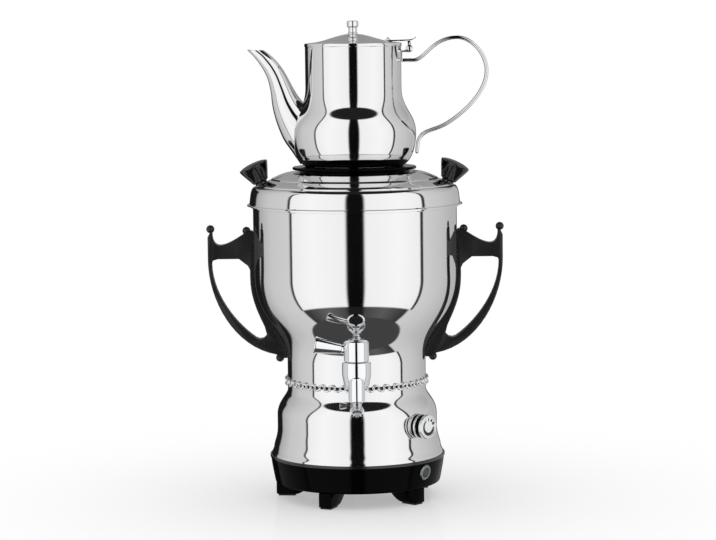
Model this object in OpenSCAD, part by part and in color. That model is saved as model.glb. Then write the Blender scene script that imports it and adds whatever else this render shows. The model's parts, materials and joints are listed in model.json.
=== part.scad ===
// Electric samovar with a teapot on its lid.
// Frame: millimetres, +Z up, the tap faces -Y, and the spout of the teapot points to -X.
// The origin lies on the table, under the middle of the whole outline.

/* [Base] */
// Height of the feet
foot_h = 16; // [10:0.5:24]
// Width of a foot, along the rim of the base
foot_w = 13; // [8:0.5:20]
// Length of a foot towards the middle, along its top
foot_l = 39; // [30:0.5:46]
// Length of the flat sole of a foot
sole_l = 19; // [12:0.5:26]
// Number of feet
foot_count = 5; // [3:1:8]
// Turn of the first foot from the front, to the right
foot_turn = 48.5; // [0:0.5:72]
// Thickness of a rubber foot pad
pad_t = 1.5; // [1:0.1:2.5]
// Height of the plastic base, without its feet
base_h = 28.5; // [26:0.5:40]
// Radius of the base at its rim
base_rim_r = 87.7; // [87.2:0.1:92]
// Radius of the base at its lower edge
base_low_r = 83; // [78:0.1:85]
// Wall of the base
base_wall = 2.5; // [2:0.1:3.5]
// Height of the bead round the rim of the base
bead_h = 3; // [2:0.1:5]
// How far the bead stands out
bead_out = 0.7; // [0.4:0.1:1.5]
// Radius of the service cover in the bottom
cover_r = 34; // [26:0.5:36]
// Thickness of the service cover
cover_t = 2; // [1.5:0.1:3]
// Screws in the service cover
cover_screws = 3; // [3:1:6]

/* [Lower housing] */
// Height of the steel housing, from its seat in the base to the waist seam
housing_h = 75.5; // [72:0.5:90]
// Radius of the housing at the knob
housing_r = 80; // [78:0.1:82]
// Radius of the flared lower edge of the housing
flare_r = 86; // [85:0.1:86.2]
// Height of the flare
flare_h = 17; // [12:0.5:20]
// Height of the rounded shoulder under the neck
shoulder_h = 26; // [20:0.5:30]
// Height of the straight neck above the shoulder
neck_h = 8; // [7:0.5:12]
// Sheet thickness of the steel shells
sheet = 1; // [0.8:0.1:1.4]

/* [Vessel] */
// Radius of the waist
waist_r = 69.2; // [66:0.1:72]
// Height of the straight waist
waist_h = 23; // [21:0.5:30]
// Height of the curved bowl between the waist and the drum
bowl_h = 84; // [76:0.5:95]
// Radius of the drum
drum_r = 101.6; // [99:0.1:104]
// Height of the drum
drum_h = 69; // [60:0.5:80]
// Width of the flat rim flange
rim_w = 1.8; // [1.2:0.1:2.5]
// Height of the rim flange
rim_h = 2.4; // [1.5:0.1:4]
// Height of the vessel floor above the waist seam
floor_up = 2; // [1:0.5:4]
// Thickness of the vessel floor
floor_t = 1.5; // [1:0.1:2]

/* [Chain] */
// Number of chain links round the waist
link_count = 80; // [76:2:84]
// Wire diameter of a link
link_wire = 1.2; // [1:0.1:1.3]
// Diameter of a link, at the middle of its wire
link_d = 6.9; // [6.8:0.1:7.4]
// Lean of a link from upright
link_lean = 25; // [23:1:35]

/* [Heating] */
// Radius of the heater plate
heater_r = 58; // [45:0.5:60]
// Thickness of the heater plate
heater_t = 4; // [3:0.1:6]
// Radius of the heating coil, at the middle of its tube
coil_r = 42; // [30:0.5:48]
// Tube diameter of the heating coil
coil_d = 8; // [6:0.1:9]
// Diameter of the thermal cut-out
cutout_d = 18; // [14:0.5:20]

/* [Thermostat and knob] */
// Turn of the knob from the front, to the right
knob_turn = 47.5; // [40:0.5:60]
// Height of the knob axis over the seat of the housing
knob_up = 36.5; // [32:0.5:38.5]
// Radius of the knob
knob_r = 12; // [10:0.1:13]
// How far the knob stands out from the housing
knob_out = 15.5; // [13:0.1:18]
// Thickness of the fixed ring behind the knob
escutcheon_t = 3; // [2.8:0.1:4]
// Diameter of the thermostat shaft
shaft_d = 6; // [5:0.1:6.4]
// Diameter of the threaded bush of the thermostat
bush_d = 9.5; // [8.6:0.1:10.5]
// Diameter of the thermostat body
thermostat_d = 24; // [18:0.5:26]
// Depth of the thermostat body
thermostat_l = 16; // [12:0.5:20]

/* [Indicator lamp] */
// Turn of the lamp from the front, to the right
lamp_turn = 50; // [44:0.5:58]
// Height of the lamp axis over the lower edge of the base
lamp_up = 16.6; // [14:0.1:18]
// Diameter of the lamp bezel
bezel_d = 15.6; // [13:0.1:17]
// Diameter of the lamp lens
lens_d = 9.4; // [7:0.1:10]
// How far the bezel stands out
bezel_out = 2.4; // [1.6:0.1:4]

/* [Cord gland] */
// Outer diameter of the cord gland at the rear
gland_d = 14; // [12:0.1:16]
// Bore of the cord gland, for a round cord
gland_bore = 7; // [6:0.1:9]
// How far the gland stands out
gland_out = 12; // [8:0.5:16]

/* [Tap] */
// Distance of the tap axis from the samovar axis
tap_reach = 104; // [98:0.5:112]
// Height of the inlet pipe over the waist seam
inlet_up = 17; // [15.5:0.1:17.2]
// Diameter of the inlet pipe
inlet_d = 10.4; // [9:0.1:10.8]
// Bore of the inlet pipe
inlet_bore = 7; // [5:0.1:7.6]
// Diameter of the fixed barrel of the tap
barrel_d = 28.4; // [27:0.1:31]
// Height of the barrel above the inlet axis
barrel_up = 14.8; // [12:0.1:17]
// Depth of the barrel below the inlet axis
barrel_down = 12; // [11:0.1:14]
// Diameter of the outlet tube
outlet_d = 16; // [14.4:0.1:17]
// Bore of the outlet tube
outlet_bore = 11; // [9:0.1:12]
// Distance of the outlet axis in front of the tap axis
outlet_fwd = 8; // [7:0.1:10]
// Length of the outlet tube below the inlet axis
outlet_down = 22.5; // [20:0.5:28]
// Diameter of the turning plug
plug_d = 14; // [13:0.1:15.5]
// Radial running clearance of the plug
plug_gap = 0.05; // [0.03:0.01:0.08]
// Diameter of the turning head
head_d = 24.4; // [22:0.1:26]
// Height of the turning head
head_h = 21; // [18:0.1:24]
// Gap under the turning head
head_gap = 0.4; // [0.3:0.1:0.8]
// Length of the conical lever
lever_l = 29; // [24:0.5:36]
// Diameter of the lever at its root
lever_root_d = 9.4; // [8:0.1:11]
// Diameter of the lever at its tip
lever_tip_d = 17; // [14:0.1:20]
// Upward tilt of the lever
lever_tilt = 9.5; // [5:0.5:15]

/* [Side handles] */
// Distance of the outer edge of a handle from the samovar axis
handle_reach = 147; // [140:0.5:152]
// Thickness of a handle plate
handle_t = 14; // [10:0.5:18]
// Width of the slim outer limb
limb_w = 3.6; // [3:0.1:5]
// Width of the spine that follows the vessel
spine_w = 3.6; // [3:0.1:5]
// Diameter of the balls on a handle
ball_d = 8.2; // [7:0.1:9.5]
// Diameter of the handle bolts
bolt_d = 4; // [3:0.1:5]
// Gap between a handle and the vessel
handle_gap = 0.2; // [0.1:0.05:0.4]

/* [Samovar lid] */
// Radius of the lid at its lip
lip_r = 107.3; // [106.4:0.1:109]
// Thickness of the lip
lip_t = 1.2; // [1:0.1:2]
// Radius of the skirt over the lip
skirt_r = 105; // [104.6:0.1:106]
// Height of the lid from the rim to the seat of the teapot stand
lid_h = 29; // [27:0.5:34]
// Radius of the crest round the teapot stand
crest_r = 64; // [63.4:0.1:70]
// Height of the crest over the seat of the stand
crest_up = 3.6; // [2.5:0.1:5]
// Radius of the steam opening
steam_r = 46; // [40:0.5:46.5]
// Depth of the locating ring inside the vessel
ring_h = 10; // [6:0.5:16]
// Clearance of the locating ring in the vessel
ring_gap = 0.8; // [0.5:0.1:1.5]

/* [Lid knobs] */
// Distance of a lid knob's foot from the samovar axis
grip_r = 91.5; // [90:0.1:94]
// Diameter of a lid knob at its top
grip_d = 29; // [24:0.1:32]
// Diameter of a lid knob at its foot
grip_foot_d = 16; // [13:0.1:18]
// Length of a lid knob
grip_l = 21.5; // [18:0.5:26]
// Outward tilt of a lid knob
grip_tilt = 25; // [15:0.5:32]

/* [Teapot stand] */
// Radius of the upper flange
stand_r = 61.6; // [58:0.1:62.4]
// Radius of the groove between the flanges
groove_r = 54.6; // [51:0.1:57]
// Height of the stand
stand_h = 9; // [7:0.5:14]
// Thickness of a flange of the stand
flange_t = 2.8; // [2:0.1:3]

/* [Teapot] */
// Radius of the teapot's bottom
pot_foot_r = 49.5; // [48:0.1:52]
// Radius of the bulge
bulge_r = 61.8; // [58:0.1:64]
// Height of the bulge over the bottom
bulge_up = 33; // [29:0.5:38]
// Radius of the neck
pot_neck_r = 47.7; // [46:0.1:49.5]
// Height where the neck starts over the bottom
neck_up = 78; // [72:0.5:84]
// Height of the teapot to its rim
pot_h = 118.5; // [115:0.5:126]
// Sheet thickness of the teapot
pot_sheet = 0.8; // [0.7:0.1:1.2]
// Thickness of the handle strap
strap_t = 3.6; // [3:0.1:4.2]
// Width of the handle strap
strap_w = 13; // [9:0.5:16]
// Distance of the back of the handle from the teapot axis
strap_reach = 132.3; // [124:0.5:138]
// Height of the spout's mouth over the bottom
mouth_up = 116; // [112:0.5:119]
// Wall of the spout
spout_wall = 1; // [0.8:0.1:1.3]
// Diameter of a strainer hole
strain_d = 3; // [2:0.1:3.4]

/* [Teapot lid] */
// Height of the lid rim
pot_lid_rim = 3.5; // [3:0.1:5]
// How far the lid rim stands out over the neck
pot_lid_out = 0.6; // [0.3:0.1:1]
// Height of the dome over the lid rim
dome_h = 9; // [7:0.1:12]
// Diameter of the lid knob's cap
button_d = 11.5; // [9:0.1:14]
// Height of the lid knob
button_h = 13; // [11:0.1:16]
// Distance of the hinge axis from the teapot axis
hinge_x = 56; // [54.5:0.1:60]
// Height of the hinge axis below the teapot rim
hinge_drop = 2.5; // [2:0.1:3.5]
// Outer diameter of the hinge knuckles
knuckle_d = 7.4; // [6.4:0.1:8]
// Diameter of the hinge pin
pin_d = 3; // [2.4:0.1:3.6]
// Radial running clearance of the hinge pin
pin_gap = 0.05; // [0.03:0.01:0.1]
// Length of the middle knuckle
knuckle_l = 6; // [5:0.1:8]

/* [Hidden] */
$fn = 96;

// Heights of the main levels
base_z = foot_h;
base_top_z = base_z + base_h;
seat_z = base_top_z - 2;
seam_z = seat_z + housing_h;
waist_top_z = seam_z + waist_h;
drum_z = waist_top_z + bowl_h;
rim_z = drum_z + drum_h;
stand_z = rim_z + lid_h;
pot_z = stand_z + stand_h;
pot_rim_z = pot_z + pot_h;
knob_z = seat_z + knob_up;
lamp_z = base_z + lamp_up;
inlet_z = seam_z + inlet_up;
hinge_z = pot_rim_z - hinge_drop;

// The samovar axis lies behind the origin, because the tap reaches out further than the lid
front_reach = tap_reach + outlet_fwd + outlet_d / 2;
axis_y = (front_reach - lip_r) / 2;

// Clearances and small thicknesses
touch = 0.05;
screw_gap = 0.2;
swing_gap = 0.4;
base_floor_t = 3;
ledge_w = 4;
rim_in_r = flare_r + 0.3;
seal_t = 1;

steel = "#c9cbcd";
chrome = "#d8dadc";
black = "#0e0e10";
rubber = "#1a1a1a";

// Point at share t of a curve with four control points
function curve_pt(p, t) =
  pow(1 - t, 3) * p[0] + 3 * pow(1 - t, 2) * t * p[1] + 3 * (1 - t) * t * t * p[2] + pow(t, 3) * p[3];
// Points along such a curve, without its first one
function curve(p, steps) = [for (i = [1 : steps]) curve_pt(p, i / steps)];
// Outline moved sideways and up
function moved(points, by) = [for (p = points) p + by];
// Outline read backwards
function turned_round(points) = [for (i = [len(points) - 1 : -1 : 0]) points[i]];
// Distance from the axis of a chord that is this wide in a circle
function chord_r(r, width) = sqrt(r * r - width * width / 4);

module on_axis() {
  translate([0, axis_y, 0]) children();
}

// Turns children from the front of the samovar to an angle on its right
module at_turn(angle) {
  rotate([0, 0, angle]) children();
}

// Local frame on the front: +Z points out of the samovar, +Y points up
module facing(r, z) {
  translate([0, -r, z]) rotate([90, 0, 0]) children();
}

module ring(r_out, r_in, h) {
  difference() {
    cylinder(r = r_out, h = h);
    translate([0, 0, -1]) cylinder(r = r_in, h = h + 2);
  }
}

// ---------------------------------------------------------------- base

module base_shell() {
  cover_seat_r = cover_r + screw_gap;
  mouth_r = cover_r - 8;
  low_in_r = base_low_r - base_wall;
  top_in_r = rim_in_r - ledge_w;
  color(black) on_axis() difference() {
    rotate_extrude() polygon([
      [mouth_r, base_z + cover_t], [cover_seat_r, base_z + cover_t], [cover_seat_r, base_z],
      [base_low_r - 2, base_z], [base_low_r - 0.6, base_z + 0.6], [base_low_r, base_z + 2],
      [base_rim_r - bead_out, base_top_z - bead_h], [base_rim_r, base_top_z - bead_h + 0.5],
      [base_rim_r, base_top_z - 0.5], [base_rim_r - 0.5, base_top_z],
      [rim_in_r, base_top_z], [rim_in_r, seat_z], [top_in_r, seat_z],
      [top_in_r, seat_z - 2.5], [top_in_r + 1.5, seat_z - 4],
      [low_in_r, base_z + base_floor_t + cover_t], [mouth_r, base_z + base_floor_t + cover_t],
    ]);
    wall_hole(lamp_turn, lens_d + 2 + 2 * touch);
    wall_hole(180, gland_bore + 4 + 2 * touch);
    cover_screw_places() translate([0, 0, -1]) cylinder(r = 1.5, h = 8);
  }
}

// Hole through the side of the base, square to it
module wall_hole(angle, d) {
  at_turn(angle) translate([0, -wall_r, lamp_z]) rotate([90 + wall_slope, 0, 0])
    translate([0, 0, -12]) cylinder(d = d, h = 24);
}

// Places of the screws in the service cover, on its underside
module cover_screw_places() {
  for (i = [0 : cover_screws - 1])
    rotate([0, 0, 90 + i * 360 / cover_screws]) translate([cover_r - 4, 0, base_z]) children();
}

// Places of the feet: +X points out along the foot, at the lower edge of the base
module foot_places() {
  for (i = [0 : foot_count - 1])
    rotate([0, 0, foot_turn - 90 - i * 360 / foot_count]) translate([base_low_r - 1, 0, 0]) children();
}

module feet() {
  arch = [[-sole_l, pad_t], [-sole_l - 6, pad_t], [-foot_l + 6, foot_h - 8], [-foot_l, foot_h]];
  color(black) on_axis() foot_places()
    rotate([90, 0, 0]) translate([0, 0, -foot_w / 2]) linear_extrude(foot_w)
      polygon(concat([[0, foot_h], [0, pad_t + 1], [-1, pad_t]], [arch[0]], curve(arch, 8)));
}

module foot_pads() {
  color(rubber) on_axis() foot_places()
    translate([-sole_l, -foot_w / 2 + 1, 0]) cube([sole_l - 2, foot_w - 2, pad_t]);
}

module bottom_cover() {
  color(black) on_axis() difference() {
    translate([0, 0, base_z]) cylinder(r = cover_r, h = cover_t);
    cover_screw_places() translate([0, 0, -1]) cylinder(r = 1.5 + screw_gap, h = cover_t + 2);
  }
}

module cover_screws() {
  color(steel) on_axis() cover_screw_places() {
    translate([0, 0, -1.6]) cylinder(r = 2.8, h = 1.6);
    cylinder(r = 1.5 - touch, h = cover_t + 2.8);
  }
}

// ---------------------------------------------------------------- steel housing

// Outline of the housing from its lower edge up to the neck
function housing_outline() = concat(
  [[flare_r, seat_z], [flare_r, seat_z + flare_h * 0.45], [flare_r - 0.8, seat_z + flare_h * 0.5],
   [flare_r - 0.8, seat_z + flare_h * 0.6]],
  curve([[flare_r - 0.8, seat_z + flare_h * 0.6], [flare_r - 2.4, seat_z + flare_h],
         [housing_r, seat_z + flare_h], [housing_r, seat_z + flare_h + 9]], 10),
  [[housing_r, seam_z - neck_h - shoulder_h]],
  curve([[housing_r, seam_z - neck_h - shoulder_h], [housing_r, seam_z - neck_h - shoulder_h / 2],
         [waist_r, seam_z - neck_h - shoulder_h / 4], [waist_r, seam_z - neck_h]], 14),
  [[waist_r, seam_z]]
);

module housing_solid() {
  rotate_extrude() polygon(concat([[0, seat_z]], housing_outline(), [[0, seam_z]]));
}

module lower_housing() {
  outline = housing_outline();
  color(steel) on_axis() difference() {
    rotate_extrude() polygon(concat(outline, turned_round(moved(outline, [-sheet, 0]))));
    at_turn(knob_turn) facing(housing_r - 8, knob_z) cylinder(d = bush_d + 2 * screw_gap, h = 16);
  }
}

// ---------------------------------------------------------------- vessel

function vessel_outline() = concat(
  [[waist_r, seam_z], [waist_r, waist_top_z]],
  curve([[waist_r, waist_top_z], [waist_r, waist_top_z + bowl_h / 3],
         [drum_r, drum_z - bowl_h * 0.55], [drum_r, drum_z]], 22),
  [[drum_r, rim_z - rim_h]]
);

module vessel_solid(grow) {
  rotate_extrude() polygon(concat([[0, seam_z]], moved(vessel_outline(), [grow, 0]),
                                  [[drum_r + grow, rim_z], [0, rim_z]]));
}

module vessel_body() {
  outline = vessel_outline();
  color(steel) on_axis() difference() {
    rotate_extrude() polygon(concat(
      outline, [[drum_r + rim_w, rim_z - rim_h + 0.6], [drum_r + rim_w, rim_z], [drum_r - sheet, rim_z]],
      turned_round(moved(outline, [-sheet, 0]))));
    facing(waist_r - 8, inlet_z) cylinder(d = inlet_d + 2 * touch, h = 16);
    handle_bolt_places() cylinder(d = bolt_d + 2 * screw_gap, h = 16, center = true);
  }
}

// Floor of the vessel, with a skirt that holds the vessel and the housing together
module vessel_floor() {
  skirt_r_out = waist_r - sheet - touch;
  floor_z = seam_z + floor_up;
  color(steel) on_axis() rotate_extrude() polygon([
    [0, floor_z], [0, floor_z - floor_t], [skirt_r_out - 3, floor_z - floor_t],
    [skirt_r_out - 1.2, floor_z - floor_t - 2], [skirt_r_out - 1.2, seam_z - neck_h + 1],
    [skirt_r_out, seam_z - neck_h + 1], [skirt_r_out, floor_z - 1], [skirt_r_out - 1, floor_z],
  ]);
}

// Round links lean one way and the other in turn, and lie on the seam of the waist
module waist_chain() {
  pitch_turn = 360 / link_count;
  chain_r = waist_r + link_d / 2 * sin(link_lean) + link_wire / 2 + touch;
  color(chrome) on_axis() for (i = [0 : link_count - 1])
    at_turn((i + 0.5) * pitch_turn) facing(chain_r, seam_z) rotate([i % 2 == 0 ? link_lean : -link_lean, 0, 0])
      rotate_extrude($fn = 24) translate([link_d / 2, 0]) circle(d = link_wire, $fn = 16);
}

// ---------------------------------------------------------------- heating

plate_z = seam_z + floor_up - floor_t - heater_t;
coil_z = plate_z - coil_d / 2;
// Length of the straight ends of the coil, and of the cut-out and its blades
lead_l = 12;
cutout_l = 9;
blade_l = 8;

module heater_plate() {
  color("#b9bbbd") on_axis() translate([0, 0, plate_z]) cylinder(r = heater_r, h = heater_t);
}

// Open ring of tube under the plate, with two ends that turn down
module heating_coil() {
  color("#8d8f92") on_axis() difference() {
    translate([0, 0, coil_z]) union() {
      rotate([0, 0, 105]) rotate_extrude(angle = 330) translate([coil_r, 0]) circle(d = coil_d);
      for (side = [-1, 1]) rotate([0, 0, 90 + 15 * side]) translate([coil_r, 0, -lead_l])
        cylinder(d = coil_d, h = lead_l);
    }
    translate([0, 0, plate_z]) cylinder(r = heater_r, h = heater_t);
  }
}

module thermal_cutout() {
  color("#3a3a3c") on_axis() translate([0, 0, plate_z - cutout_l]) {
    cylinder(d = cutout_d, h = cutout_l);
    for (x = [-5, 5]) translate([x - 0.4, -3, -blade_l]) cube([0.8, 6, blade_l]);
  }
}

thermostat_face = sheet + 4;

module thermostat_body() {
  color("#d9d4c6") on_axis() at_turn(knob_turn) facing(housing_r, knob_z) difference() {
    union() {
      translate([0, 0, -thermostat_face - thermostat_l]) cylinder(d = thermostat_d, h = thermostat_l);
      translate([0, 0, -thermostat_face - 1]) cylinder(d = bush_d, h = thermostat_face + 2.6);
      for (x = [-7, 7]) translate([x - 3, -0.4, -thermostat_face - thermostat_l - 8]) cube([6, 0.8, blade_l]);
    }
    translate([0, 0, -thermostat_face - 10]) cylinder(d = shaft_d + 2 * touch, h = 20);
  }
}

module thermostat_nut() {
  color(steel) at_knob() difference() {
    cylinder(d = bush_d + 4.4, h = 2.2, $fn = 6);
    translate([0, 0, -2]) cylinder(d = bush_d, h = 6);
  }
}

// Length, depth and height of the terminal block, and its near edge behind the axis
block_size = [36, 14, 14];
block_back = 22;
block_z = base_z + base_floor_t + cover_t;
block_y = block_back + block_size[1] / 2;
pole_step = block_size[0] / 3;

module terminal_block() {
  color("#e6e2d6") on_axis() translate([-block_size[0] / 2, block_back, block_z]) difference() {
    cube(block_size);
    for (i = [0 : 2]) translate([(i + 0.5) * pole_step, -1, block_size[2] * 0.57]) rotate([-90, 0, 0])
      cylinder(d = 4, h = block_size[1] + 2);
  }
}

// A wire is a chain of straight runs, each a little longer than its share so that the corners close
module wire(points, d) {
  for (i = [0 : len(points) - 2]) {
    run = points[i + 1] - points[i];
    flat = norm([run[0], run[1]]);
    over = i < len(points) - 2 ? d / 4 : 0;
    translate(points[i]) rotate([0, atan2(flat, run[2]), atan2(run[1], run[0])])
      cylinder(d = d, h = norm(run) + over, $fn = 8);
  }
}

wire_d = 2.6;

module wiring() {
  block_top = block_z + block_size[2];
  coil_low = coil_z - lead_l;
  coil_x = coil_r * sin(15);
  coil_y = coil_r * cos(15);
  color("#b0472e") on_axis() {
    for (side = [-1, 1])
      wire([[side * coil_x, coil_y, coil_low], [side * coil_x, coil_y, coil_low - 14],
            [side * pole_step, block_y, block_top + 10], [side * pole_step, block_y, block_top]], wire_d);
    wire([[-5, 0, plate_z - cutout_l - blade_l], [-5, 0, plate_z - cutout_l - blade_l - 19],
          [0, block_y, block_top + 12], [0, block_y, block_top]], wire_d);
  }
}

module cord_gland() {
  color(rubber) at_base_wall(180) difference() {
    union() {
      cylinder(d = gland_d, h = 3);
      translate([0, 0, 2.9]) cylinder(d1 = gland_d - 2, d2 = gland_bore + 3, h = gland_out - 2.9);
      translate([0, 0, -base_wall - 3]) cylinder(d = gland_bore + 4, h = base_wall + 5);
      translate([0, 0, -base_wall - 4.4]) cylinder(d = gland_d, h = 2);
    }
    translate([0, 0, -base_wall - 6]) cylinder(d = gland_bore, h = gland_out + base_wall + 8);
  }
}

// ---------------------------------------------------------------- indicator lamp

// Radius and slope of the side of the base at the height of the lamp and the gland
wall_run = base_rim_r - bead_out - base_low_r;
wall_r = base_low_r + wall_run * (lamp_up - 2) / (base_h - bead_h - 2);
wall_slope = atan2(wall_run, base_h - bead_h - 2);

// Local frame on the side of the base, square to it: +Z points out
module at_base_wall(angle) {
  on_axis() at_turn(angle) translate([0, -wall_r, lamp_z]) rotate([90 + wall_slope, 0, 0]) children();
}

module at_lamp() {
  at_base_wall(lamp_turn) children();
}

module lamp_bezel() {
  color(chrome) at_lamp() difference() {
    union() {
      cylinder(d = bezel_d, h = bezel_out - 1);
      translate([0, 0, bezel_out - 1]) cylinder(d1 = bezel_d, d2 = bezel_d - 2, h = 1);
      translate([0, 0, -base_wall - 1.5]) cylinder(d = lens_d + 2, h = base_wall + 2);
    }
    translate([0, 0, -8]) cylinder(d = lens_d + 2 * touch, h = 20);
  }
}

module lamp_lens() {
  color("#6d7174") at_lamp() {
    translate([0, 0, -4]) cylinder(d = lens_d, h = bezel_out + 3.4);
    translate([0, 0, bezel_out - 0.6]) cylinder(d1 = lens_d, d2 = lens_d - 2, h = 0.8);
  }
}

module lamp_holder() {
  color("#e8e4da") at_lamp() {
    translate([0, 0, -16]) cylinder(d = lens_d + 1, h = 12);
    for (x = [-2.5, 2.5]) translate([x - 0.4, -2, -22]) cube([0.8, 4, 6]);
  }
}

// ---------------------------------------------------------------- thermostat knob

module at_knob() {
  on_axis() at_turn(knob_turn) facing(housing_r, knob_z) children();
}

core_z = escutcheon_t + swing_gap;
cap_t = 4.6;

module knob_escutcheon() {
  color(chrome) difference() {
    at_knob() difference() {
      union() {
        translate([0, 0, -2]) cylinder(r = knob_r, h = escutcheon_t + 1.2);
        translate([0, 0, escutcheon_t - 0.8]) cylinder(r1 = knob_r, r2 = knob_r - 0.8, h = 0.8);
      }
      translate([0, 0, -3]) cylinder(d = bush_d + 5, h = escutcheon_t + 6);
    }
    on_axis() housing_solid();
  }
}

module thermostat_shaft() {
  color(steel) at_knob() translate([0, 0, -thermostat_face - 9.6])
    cylinder(d = shaft_d, h = thermostat_face + 9.6 + knob_out - cap_t - 2);
}

module knob_core() {
  color(black) at_knob() difference() {
    translate([0, 0, core_z]) cylinder(r = knob_r - 1.6, h = knob_out - cap_t - core_z);
    translate([0, 0, core_z - 1]) cylinder(d = shaft_d, h = knob_out - cap_t - 2 - core_z + 1);
  }
}

module knob_ring() {
  ring_z = core_z + 1.3;
  color(chrome) at_knob() translate([0, 0, ring_z]) difference() {
    union() {
      cylinder(r1 = knob_r - 0.5, r2 = knob_r, h = 0.5);
      translate([0, 0, 0.5]) cylinder(r = knob_r, h = 2.4);
      translate([0, 0, 2.9]) cylinder(r1 = knob_r, r2 = knob_r - 0.5, h = 0.5);
    }
    translate([0, 0, -1]) cylinder(r = knob_r - 1.6, h = 6);
  }
}

module knob_cap() {
  color(chrome) at_knob() translate([0, 0, knob_out - cap_t]) difference() {
    union() {
      cylinder(r1 = knob_r - 0.6, r2 = knob_r, h = 0.6);
      translate([0, 0, 0.6]) cylinder(r = knob_r, h = cap_t - 2);
      translate([0, 0, cap_t - 1.4]) cylinder(r1 = knob_r, r2 = knob_r - 1.8, h = 1.4);
    }
    translate([0, 0, cap_t - 0.6]) cylinder(r = knob_r - 3, h = 2);
  }
}

// ---------------------------------------------------------------- tap

module at_tap() {
  on_axis() translate([0, -tap_reach, inlet_z]) children();
}

barrel_r = barrel_d / 2;
outlet_r = outlet_d / 2;
seat_r = plug_d / 2 + plug_gap;
pipe_l = tap_reach - waist_r;
port_d = inlet_bore - 0.6;

module tap_body() {
  color(chrome) at_tap() difference() {
    union() {
      rotate_extrude() polygon([
        [0, -barrel_down], [barrel_r - 5.5, -barrel_down], [barrel_r - 3, -barrel_down + 1.2],
        [barrel_r - 1.6, -barrel_down + 4], [barrel_r - 0.4, -barrel_down + 9.3], [barrel_r, 1.7],
        [barrel_r, barrel_up - 5], [barrel_r - 0.3, barrel_up - 0.5], [barrel_r - 0.8, barrel_up], [0, barrel_up]]);
      rotate([-90, 0, 0]) cylinder(d = inlet_d, h = pipe_l + 14);
      translate([0, barrel_r + 1, 0]) rotate([-90, 0, 0]) cylinder(d = inlet_d + 3.6, h = 3);
      translate([0, pipe_l - seal_t - 2.4, 0]) rotate([-90, 0, 0]) cylinder(d = inlet_d + 8, h = 2.4);
      translate([0, -outlet_fwd, 0]) rotate_extrude() polygon(concat(
        [[0, -outlet_down], [outlet_r - 0.4, -outlet_down], [outlet_r, -outlet_down + 0.4], [outlet_r, -4]],
        [for (a = [10 : 10 : 80]) [outlet_r * cos(a), -4 + outlet_r * sin(a)]], [[0, -4 + outlet_r]]));
    }
    translate([0, 0, -barrel_down + 3]) cylinder(r = seat_r, h = barrel_down + barrel_up);
    rotate([-90, 0, 0]) cylinder(d = inlet_bore, h = pipe_l + 20);
    rotate([90, 0, 0]) cylinder(d = port_d, h = outlet_fwd + 1);
    translate([0, -outlet_fwd, -outlet_down - 1]) cylinder(d = port_d + 1.6, h = outlet_down + 1);
    translate([0, -outlet_fwd, -outlet_down - 1]) cylinder(d = outlet_bore, h = outlet_down - barrel_down - 1);
  }
}

seal_d = inlet_d + 3.6;
// Face of the inner seal that the nut presses on
inner_seal_r = chord_r(waist_r - sheet, seal_d + 1.6) - seal_t - touch;

// One seal outside the vessel wall and one inside it
module tap_seals() {
  color(rubber) on_axis() difference() {
    union() {
      difference() {
        facing(waist_r - 2, inlet_z) cylinder(d = seal_d, h = seal_t + 2);
        translate([0, 0, seam_z]) cylinder(r = waist_r + touch, h = waist_h + 4, $fn = 384);
      }
      facing(inner_seal_r, inlet_z) cylinder(d = seal_d, h = seal_t);
    }
    facing(0, inlet_z) cylinder(d = inlet_d + 2 * touch, h = tap_reach);
  }
}

module tap_nut() {
  color("#b8964a") on_axis() difference() {
    facing(inner_seal_r - 5, inlet_z) cylinder(d = inlet_d + 8.4, h = 5, $fn = 6);
    facing(0, inlet_z) cylinder(d = inlet_d, h = tap_reach);
  }
}

// The port of the plug lies across the flow while the tap is shut
module tap_plug() {
  color("#b8964a") at_tap() difference() {
    union() {
      translate([0, 0, -barrel_down + 3.3]) cylinder(d = plug_d, h = barrel_down + barrel_up - 3.3);
      translate([0, 0, barrel_up]) cylinder(d = plug_d - 5, h = head_h * 0.6);
    }
    rotate([0, 90, 0]) cylinder(d = port_d, h = plug_d + 2, center = true);
  }
}

head_z = barrel_up + head_gap;

module tap_head() {
  head_r = head_d / 2;
  color(chrome) at_tap() difference() {
    rotate_extrude() polygon([
      [0, head_z], [head_r - 0.5, head_z], [head_r, head_z + 0.5], [head_r, head_z + head_h - 2.6],
      [head_r - 0.6, head_z + head_h - 1.2], [head_r - 2, head_z + head_h - 0.3], [head_r - 4, head_z + head_h],
      [0, head_z + head_h]]);
    translate([0, 0, barrel_up - 1]) cylinder(d = plug_d - 5, h = head_h * 0.6 + 1);
    lever_frame() cylinder(d = 5, h = head_r);
  }
}

// Local frame of the lever: +Z runs along it, from inside the head to its tip
module lever_frame() {
  translate([0, 0, head_z + head_h * 0.46]) rotate([0, lever_tilt - 90, 0])
    translate([0, 0, head_d / 2 - 5.4]) children();
}

module tap_lever() {
  tip = lever_l + 5;
  color(chrome) difference() {
    at_tap() lever_frame() union() {
      cylinder(d = 5, h = 10);
      translate([0, 0, 4]) cylinder(d = lever_root_d, h = 2.4);
      translate([0, 0, 6]) cylinder(d1 = lever_root_d - 0.8, d2 = lever_tip_d, h = tip - 7.6);
      translate([0, 0, tip - 1.7]) cylinder(d1 = lever_tip_d, d2 = lever_tip_d - 1.4, h = 1.7);
    }
    at_tap() difference() {
      translate([0, 0, head_z]) cylinder(d = head_d, h = head_h);
      lever_frame() cylinder(d = 5, h = head_d);
    }
  }
}

// ---------------------------------------------------------------- side handles

// Places of the two bolts of each handle: +Z points out along the bolt
module handle_bolt_places() {
  for (side = [-1, 1]) {
    translate([side * drum_r, 0, upper_bolt_z]) rotate([0, side * 90, 0]) children();
    translate([side * waist_r, 0, lower_bolt_z]) rotate([0, side * 90, 0]) children();
  }
}

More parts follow.
